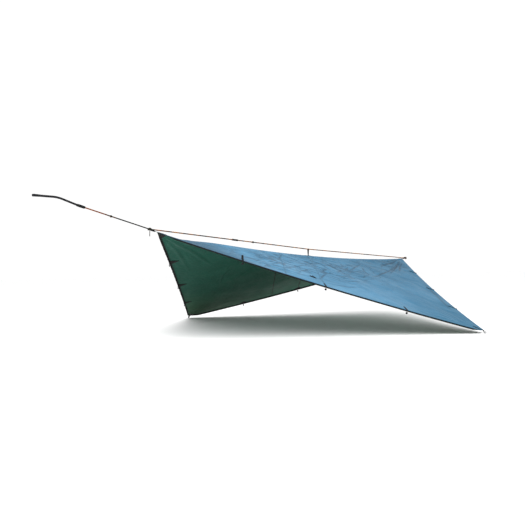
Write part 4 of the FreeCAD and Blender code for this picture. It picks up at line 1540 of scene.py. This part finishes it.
    def build_low_corner(self) -> list[Piece]:
        """Make the low corner's patch and the webbing that runs over it, round the peg eye and back."""
        shape = self.cloth.shape
        label = self.side.label
        sign = self.side.value
        half = self.thickness / 2
        edge = shape.spread - shape.corner_cut
        grid = np.zeros((8, 9, 2))
        for i, deep in enumerate(np.linspace(0.003, 0.062, 8)):
            reach = 0.034 + deep * shape.ridge_half / shape.spread - 0.004
            for j, across in enumerate(np.linspace(-1, 1, 9)):
                grid[i, j] = (across * reach, sign * (edge - deep))
        patch = self.patch_under(f"corner_patch_{label}_cloth", grid)
        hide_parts(f"corner_patch_{label}")
        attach(patch, self.side.body)
        low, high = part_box(f"corner_loop_{label}")
        radius = 0.007
        eye = np.array([high.y - 0.008 if sign > 0 else -low.y - 0.008, 0.008])
        over = half + self.web / 2 + self.layer_gap
        below = -half - self.web / 2 - self.layer_gap - self.patch_depth - self.layer_gap
        top = [self.cloth.raised(np.array([0.0, sign * (edge - back)]), self.side, over)
               for back in (0.084, 0.056, 0.028, 0.004)]
        under = [self.cloth.raised(np.array([0.0, sign * (edge - back)]), self.side, below)
                 for back in (0.004, 0.030, 0.056)]
        neck = np.array([edge + 0.006, top[-1][2] - 0.0022])
        ring = eye_path(neck, eye, radius, self.web + 0.0006)
        if ring[0][1] < ring[-1][1]:
            ring = ring[::-1]
        round_eye = in_space(ring, (0, 0, 0), (0, sign, 0), (0, 0, 1))
        path = np.vstack([top, round_eye, under])
        strap = ribbon(f"corner_loop_{label}_web", path, (1.0, 0.0, 0.0), self.web_width, self.web,
                       finishes(WEB))
        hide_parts(f"corner_loop_{label}", f"corner_strap_{label}")
        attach(strap, self.side.body)
        places = ((-BOX_HALF, 0.012), (BOX_HALF, 0.012), (BOX_HALF, 0.040), (-BOX_HALF, 0.040))
        corners = [self.cloth.raised(np.array([x, sign * (edge - back)]), self.side, half + self.web + 0.0003)
                   for x, back in places]
        self.sewing.box(self.side.body, corners)
        return [patch, strap]

    def build(self) -> None:
        """Make the whole wing."""
        canopy = self.build_cloth()
        for end in End:
            self.build_hem_tape(end)
            self.build_tie_outs(end)
            self.build_ridge_patch(end)
        self.build_seam()
        self.build_side_seam()
        self.build_panel_loop()
        self.build_low_corner()
        for piece in self.loose_sewing.build():
            piece.name = f"hem_{piece.name}"
            self.blend(piece)


# ---------------------------------------------------------------- tie-out loops
@dataclass
class TieLoops:
    """The twelve webbing loops that hang from the hems."""

    web_width: float = 0.015
    web: float = 0.0018
    eye_radius: float = 0.0046
    eye_drop: float = 0.012
    root_drop: float = 0.0007
    ply_gap: float = 0.0002

    def build(self) -> None:
        """Make each loop at its hinge."""
        for joint in frame["joints"]:
            if joint["name"].startswith("loop_swing_"):
                self.build_loop(joint)

    def build_loop(self, joint: dict) -> None:
        """Make one loop as a strip that hangs from its hinge, round the eye and back."""
        body = joint["child"]
        hinge = np.array(joint["pos_m"], float)
        along = np.array(joint["axis"], float)
        middle = np.mean([np.array(corner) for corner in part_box(body)], axis=0)
        down = middle - hinge
        down -= along * down.dot(along)
        down /= np.linalg.norm(down)
        out = np.cross(along, down)
        neck, eye = np.array([0.0, self.root_drop]), np.array([0.0, self.eye_drop])
        path = in_space(eye_path(neck, eye, self.eye_radius, self.ply_gap), hinge, out, down)
        piece = ribbon(f"{body}_web", path, along, self.web_width, self.web, finishes(WEB))
        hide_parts(body)
        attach(piece, body)
        log.info("loop %s", body)


# ---------------------------------------------------------------- ridgeline and fittings
@dataclass
class Rigging:
    """The ridgeline with its knots, hitches, hanger, strap and loops."""

    cloth: Cloth
    sewing: Sewing
    rope_radius: float = 0.004
    sheath_radius: float = 0.0050
    knot_reach: float = 0.075
    left_rise: float = 0.021
    right_rise: float = 0.008
    hanger_rise: float = 0.072
    cloth_rise: float = 0.003
    stay_run: float = 0.650
    stay_rise: float = 0.148
    knot_length: float = 0.030
    straight: float = 0.048
    strap_run: float = 0.157
    strap_rise: float = 0.046
    strap_width: float = 0.016
    web_width: float = 0.015
    web: float = 0.0018

    def __post_init__(self) -> None:
        """Work out the line's corners."""
        shape = self.cloth.shape
        reach = shape.ridge_half + self.knot_reach
        self.left = np.array([-reach, 0, shape.left_height + self.cloth_rise + self.left_rise])
        self.right = np.array([reach, 0, shape.right_height + self.cloth_rise + self.right_rise])
        self.crown = np.array([0, 0, shape.centre_height + self.hanger_rise])
        self.stay_end = self.left + np.array([-self.stay_run, 0, self.stay_rise])
        self.right_run = (self.right - self.crown) / np.linalg.norm(self.right - self.crown)
        self.rope_end = self.right + self.right_run * self.knot_length / 2
        self.coils = coil_tree()

    def route(self) -> list[Array]:
        """The line's control points: its corners, and a point on each straight run beside them."""
        stops = [self.stay_end, self.left, self.crown, self.rope_end]
        points = [stops[0]]
        for before, corner, after in zip(stops, stops[1:], stops[2:]):
            back = (before - corner) / np.linalg.norm(before - corner)
            ahead = (after - corner) / np.linalg.norm(after - corner)
            points += [corner + back * self.straight, corner, corner + ahead * self.straight]
        return points + [stops[-1]]

    def spline(self, name: str, points: Sequence[Array], diameter: float = 0.0) -> Piece:
        """A cord's NURBS curve through its control points.

        Args:
            name: The object's name.
            points: The control points.
            diameter: The cord's diameter, or 0 for a bare line.

        Returns:
            The curve object.
        """
        curve = bpy.data.curves.new(name, "CURVE")
        curve.dimensions = "3D"
        curve.resolution_u = 24
        curve.bevel_depth = diameter / 2
        curve.bevel_resolution = 4
        curve.use_fill_caps = diameter > 0
        spline = curve.splines.new("NURBS")
        spline.points.add(len(points) - 1)
        for target, point in zip(spline.points, points):
            target.co = (*point, 1)
        spline.order_u = 3
        spline.use_endpoint_u = True
        return linked(name, curve)

    def build_line(self) -> Piece:
        """Make the ridgeline as a braided tube on its spline."""
        bare = self.spline("ridgeline_route", self.route())
        bpy.context.view_layer.update()
        graph = bpy.context.evaluated_depsgraph_get()
        mesh = bpy.data.meshes.new_from_object(bare.evaluated_get(graph))
        path = np.array([v.co for v in mesh.vertices])
        bpy.data.objects.remove(bare)
        bpy.data.meshes.remove(mesh)
        line = round_tube("ridgeline_rope", path, self.sheath_radius, finishes(LINE), sides=16)
        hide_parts("ridgeline")
        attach(line, "ridge")
        self.line_path = path
        return line

    def coil(self, node: str, body: str, turns: float, cord: float, finish: WoundFinish,
             bulge: float = 0.0) -> Piece:
        """Make a wound hitch or knot in place of a CAD barrel.

        Args:
            node: The CAD node that it replaces.
            body: The body that it rides on.
            turns: Turns of cord.
            cord: The cord's radius.
            finish: Its finish.
            bulge: How much wider it is at its middle, as a share.

        Returns:
            The piece.
        """
        low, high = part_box(node)
        centre = np.array((low + high) / 2)
        start, stop = self.run_under(centre[0])
        ahead = (stop - start) / np.linalg.norm(stop - start)
        centre = start + ahead * (centre[0] - start[0]) / ahead[0]
        long = (high.x - low.x) * 0.985
        piece = linked(f"{node}_coil", bpy.data.meshes.new(f"{node}_coil"))
        run_tree(piece, self.coils, {
            "Turns": turns, "Coil Radius": self.rope_radius + cord * 0.92, "Cord Radius": cord,
            "Length": long - 2 * cord, "Material": finishes(finish),
        })
        points = np.array([v.co for v in piece.data.vertices])
        points[:, 2] -= (points[:, 2].max() + points[:, 2].min()) / 2
        swell = 1 + bulge * (1 - (2 * points[:, 2] / long) ** 2)
        up = np.cross(ahead, SIDEWAYS)
        round_line = (points[:, :1] * SIDEWAYS + points[:, 1:2] * up) * swell[:, None]
        placed = centre + points[:, 2:] * ahead + round_line
        piece.data.vertices.foreach_set("co", placed.ravel())
        piece.data.update()
        if shell_volume(piece.data) < 0:
            piece.data.flip_normals()
        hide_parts(node)
        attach(piece, body)
        log.info("coil %s: %d faces", node, len(piece.data.polygons))
        return piece

    def run_under(self, x: float) -> tuple[Array, Array]:
        """The straight run of the line at a distance along the ridge."""
        if x < self.left[0] - 0.001:
            return self.stay_end, self.left
        return (self.left, self.crown) if x < 0 else (self.crown, self.right)

    def crossing(self, name: str, centre: Array, ahead: Array, long: float, outer: float,
                 cord: float, finish: WoundFinish) -> Piece:
        """Make the strand that crosses over a knot's turns."""
        up = np.cross(ahead, SIDEWAYS)
        turn = np.linspace(-0.35 * math.pi, 1.35 * math.pi, 40)
        sweep = long * 0.42 * np.sin((turn - math.pi / 2) * 0.62)
        path = centre + sweep[:, None] * ahead
        path = path + outer * (np.cos(turn)[:, None] * SIDEWAYS + np.sin(turn)[:, None] * up)
        return round_tube(name, path, cord, finishes(finish), sides=10)

    def build_knots(self) -> list[Piece]:
        """Make the knots and hitches along the line."""
        made = [
            self.coil("left_knot", "ridge", 3.2, 0.0034, TAIL),
            self.coil("right_knot", "ridge", 3.2, 0.0034, BROWN),
            self.coil("stopper_knot", "ridge", 2.6, 0.0021, TAIL, 0.25),
            self.coil("wrapped_hitch", "ridge", 11.0, 0.0032, WOUND, 0.10),
        ]
        left_way = (self.crown - self.stay_end) / np.linalg.norm(self.crown - self.stay_end)
        for name, centre, way, finish in (
            ("left_knot_strand", self.left, left_way, TAIL),
            ("right_knot_strand", self.right, self.right_run, BROWN),
        ):
            strand = self.crossing(name, centre, way, self.knot_length, 0.0112, 0.0026, finish)
            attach(strand, "ridge")
            made.append(strand)
        for node, turns in (("long_sliding_hitch", 17.0), ("short_sliding_hitch", 5.0)):
            made.append(self.coil(node, node, turns, 0.0023, WOUND, 0.04))
        return made

    def build_tail(self) -> Piece:
        """Make the free end that hangs from the left knot."""
        low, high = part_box("knot_tail")
        top = np.array([(low.x + high.x) / 2, 0.0, high.z])
        long = high.z - low.z
        points = [top, top + np.array([0.0005, 0.0, -0.35 * long]),
                  top + np.array([-0.0012, 0.001, -0.7 * long]), top + np.array([-0.001, -0.0005, -long])]
        tail = self.spline("knot_tail_cord", points, 0.006)
        tail.data.materials.append(finishes(TAIL))
        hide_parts("knot_tail")
        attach(tail, "ridge")
        return tail

    def build_end_loop(self) -> Piece:
        """Make the loop in which the line ends past the right knot."""
        low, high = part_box("end_loop")
        centre = np.array([(low.x + high.x) / 2, (low.z + high.z) / 2])
        neck = np.array([self.rope_end[0] + 0.002, self.rope_end[2]])
        plane = eye_path(neck, centre, 0.0138, 0.0082, 40)
        path = in_space(rounded(plane, 0.004, 4), (0, 0, 0), (1, 0, 0), (0, 0, 1))
        loop = round_tube("end_loop_rope", path, self.rope_radius * 0.98, finishes(LINE), sides=16)
        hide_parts("end_loop")
        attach(loop, "ridge")
        return loop

    def build_hanger(self) -> Piece:
        """Make the webbing that ties the ridge's middle up to the line."""
        reach, lift = 0.025, 0.0016
        feet = []
        for side in (Side.REAR, Side.FRONT):
            places = np.array([reach, reach * 0.6, 0.006]) * side.value
            plan = np.stack([np.zeros(3), places], axis=1)
            feet.append(self.cloth.raised(plan, side, lift))
        base = np.array([0.0, self.cloth.shape.centre_height + 0.008])
        eye = np.array([0.0, self.crown[2]])
        ring = eye_path(base, eye, self.rope_radius + 0.0021, self.web + 0.0003, 26)
        if ring[0][0] < ring[-1][0]:
            ring = ring[::-1]
        stem = in_space(ring, (0, 0, 0), (0, 1, 0), (0, 0, 1))
        path = np.vstack([feet[0], stem, feet[1][::-1]])
        piece = ribbon("ridge_hanger_web", path, (1.0, 0.0, 0.0), self.web_width, self.web, finishes(WEB))
        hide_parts("ridge_hanger")
        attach(piece, "ridge")
        level = self.cloth.shape.centre_height + 0.012
        for side in (-1, 1):
            y = side * (self.web + 0.0004)
            corners = [(x, y, level + z)
                       for x, z in ((-BOX_HALF, 0), (BOX_HALF, 0), (BOX_HALF, 0.020), (-BOX_HALF, 0.020))]
            self.sewing.box("ridge", [np.array(c) for c in corners])
        return piece

    def build_tongue(self, end: End) -> Piece:
        """Make the webbing from a ridge corner to its knot, with a quarter twist beyond the cloth."""
        label = end.label
        knot = self.left if end is End.LEFT else self.right
        sign = end.value
        cloth_end = self.cloth.shape.ridge_half - 0.004
        places = sign * np.array([2.011, 2.040, 2.070, 2.092])
        plan = np.stack([places, np.zeros(4)], axis=1)
        foot = self.cloth.raised(plan, Side.FRONT, 0.0018)
        last = knot + np.array([-sign * self.knot_length * 0.35, 0, -0.0062])
        free = last - foot[-1]
        path = rounded([*foot, foot[-1] + free * 0.4, foot[-1] + free * 0.8, last], 0.012, 6)
        past = np.clip((np.abs(path[:, 0]) - cloth_end) / 0.045, 0, 1)
        turn = past ** 2 * (3 - 2 * past) * math.radians(75)
        across = np.stack([np.zeros(len(path)), np.cos(turn), np.sin(turn)], axis=1)
        piece = ribbon(f"corner_loop_{label}_web", path, across, self.web_width, self.web, finishes(WEB))
        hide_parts(f"corner_loop_{label}")
        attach(piece, "ridge")
        corners = []
        for x, y in ((2.020, -BOX_HALF), (2.060, -BOX_HALF), (2.060, BOX_HALF), (2.020, BOX_HALF)):
            top = self.cloth.height(np.array(sign * x), np.array(0.0), Side.FRONT) + 0.0029
            corners.append(np.array([sign * x, y, top]))
        self.sewing.box("ridge", corners)
        return piece

    def build_anchor_strap(self) -> Piece:
        """Make the flat strap beyond the wrapped hitch, folded back round its eye and sewn."""
        low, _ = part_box("anchor_strap")
        stay = (self.left - self.stay_end) / np.linalg.norm(self.left - self.stay_end)
        start = self.stay_end - stay * 0.036
        corner = start + np.array([-self.strap_run, 0, self.strap_rise])
        radius = 0.0130
        eye = np.array([low.x + radius + 0.0012, 0.0])
        level = corner[2]
        line = rounded([start, corner, (eye[0] + 0.075, 0.0, level)], 0.040, 10)
        plane = eye_path(eye + np.array([0.060, 0.0]), eye, radius, self.web + 0.0006, 30)
        if plane[0][1] > plane[-1][1]:
            plane = plane[::-1]
        ring = np.column_stack([plane, np.full(len(plane), level)])
        tail = ring[-1] + np.array([[0.020, -0.0004, 0.0], [0.045, -0.0006, 0.0]])
        line[:, 1] += ring[0][1]
        path = np.vstack([line, ring, tail])
        ahead = tangents(path)
        across = np.stack([-ahead[:, 2], np.zeros(len(path)), ahead[:, 0]], axis=1)
        flat_turn = np.abs(across[:, 2]) < 0.6
        across[flat_turn] = (0.0, 0.0, 1.0)
        across[across[:, 2] < 0] *= -1
        piece = ribbon("anchor_strap_web", path, across, self.strap_width, self.web, finishes(WEB))
        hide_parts("anchor_strap")
        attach(piece, "ridge")
        for y in (-0.0022, 0.0042):
            corners = [np.array([eye[0] + x, y, level + z])
                       for x, z in ((0.052, -0.006), (0.080, -0.006), (0.080, 0.006), (0.052, 0.006))]
            self.sewing.box("ridge", corners)
        return piece

    def build(self) -> None:
        """Make the line and everything on it."""
        line = self.build_line()
        on_line = self.build_knots()
        on_line.append(self.build_end_loop())
        on_line.append(self.build_hanger())
        self.build_anchor_strap()
        self.build_tail()
        for end in End:
            on_line.append(self.build_tongue(end))
        tuple(self.stay_end)


# ---------------------------------------------------------------- studio
@dataclass
class Studio:
    """The floor, the lights and the camera."""

    eye: tuple[float, float, float] = (-5.5052, -4.0849, 0.6028)
    yaw: float = math.radians(40.756)
    pitch: float = math.radians(0.653)
    roll: float = math.radians(1.057)
    lens: float = 43.013
    floor_half: float = 60.0

    def build_camera(self) -> None:
        """Place the camera."""
        camera = bpy.data.cameras.new("camera")
        camera.lens = self.lens
        camera.sensor_width = 36.0
        camera.clip_end = 300.0
        holder = linked("camera", camera)
        forward = Vector((math.cos(self.pitch) * math.cos(self.yaw),
                          math.cos(self.pitch) * math.sin(self.yaw), math.sin(self.pitch)))
        right = Vector((math.sin(self.yaw), -math.cos(self.yaw), 0))
        down = forward.cross(right)
        level = right * math.cos(self.roll) + down * math.sin(self.roll)
        plumb = down * math.cos(self.roll) - right * math.sin(self.roll)
        turn = Matrix((level, -plumb, -forward)).transposed().to_4x4()
        holder.matrix_world = Matrix.Translation(self.eye) @ turn
        bpy.context.scene.camera = holder

    def build_floor(self) -> None:
        """Make the plain pale floor."""
        half = self.floor_half
        corners = np.array([(-half, -half, 0), (half, -half, 0), (half, half, 0), (-half, half, 0)], float)
        floor = mesh_object("studio_floor", corners, [(0, 1, 2, 3)], None, [finishes(FLOOR)])

    def build_light(self) -> None:
        """Make the soft light: a pale surround and two large panels."""
        world = bpy.data.worlds.new("surround")
        world.use_nodes = True
        background = world.node_tree.nodes["Background"]
        background.inputs["Color"].default_value = (1, 1, 1, 1)
        background.inputs["Strength"].default_value = 1.04
        bpy.context.scene.world = world
        for name, place, aim, power, size in (
            ("overhead", (-3.5, -4.5, 6.0), (0, -0.6, 0.3), 560.0, 7.0),
            ("under", (-5.0, 0.5, 0.9), (0.0, 0.8, 0.4), 60.0, 2.0),
        ):
            lamp = bpy.data.lights.new(name, "AREA")
            lamp.energy = power
            lamp.size = size
            holder = linked(name, lamp)
            holder.location = place
            aimed = Vector(aim) - Vector(place)
            holder.rotation_euler = aimed.to_track_quat("-Z", "Y").to_euler()

    def build(self) -> None:
        """Make the whole studio."""
        self.build_camera()
        self.build_floor()
        self.build_light()
        bpy.context.scene.view_settings.view_transform = "Standard"


def main() -> None:
    """Build the shelter in order."""
    logging.basicConfig(level=logging.INFO, format="%(message)s")
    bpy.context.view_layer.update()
    Studio().build()
    cloth = Cloth(TarpShape())
    sewing = Sewing(DARK_THREAD)
    Rigging(cloth, sewing).build()
    for side in Side:
        Wing(side, cloth, sewing).build()
    TieLoops().build()
    for body, piece in zip(list(sewing.rows), sewing.build()):
        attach(piece, body)


if __name__ == "__main__":
    main()
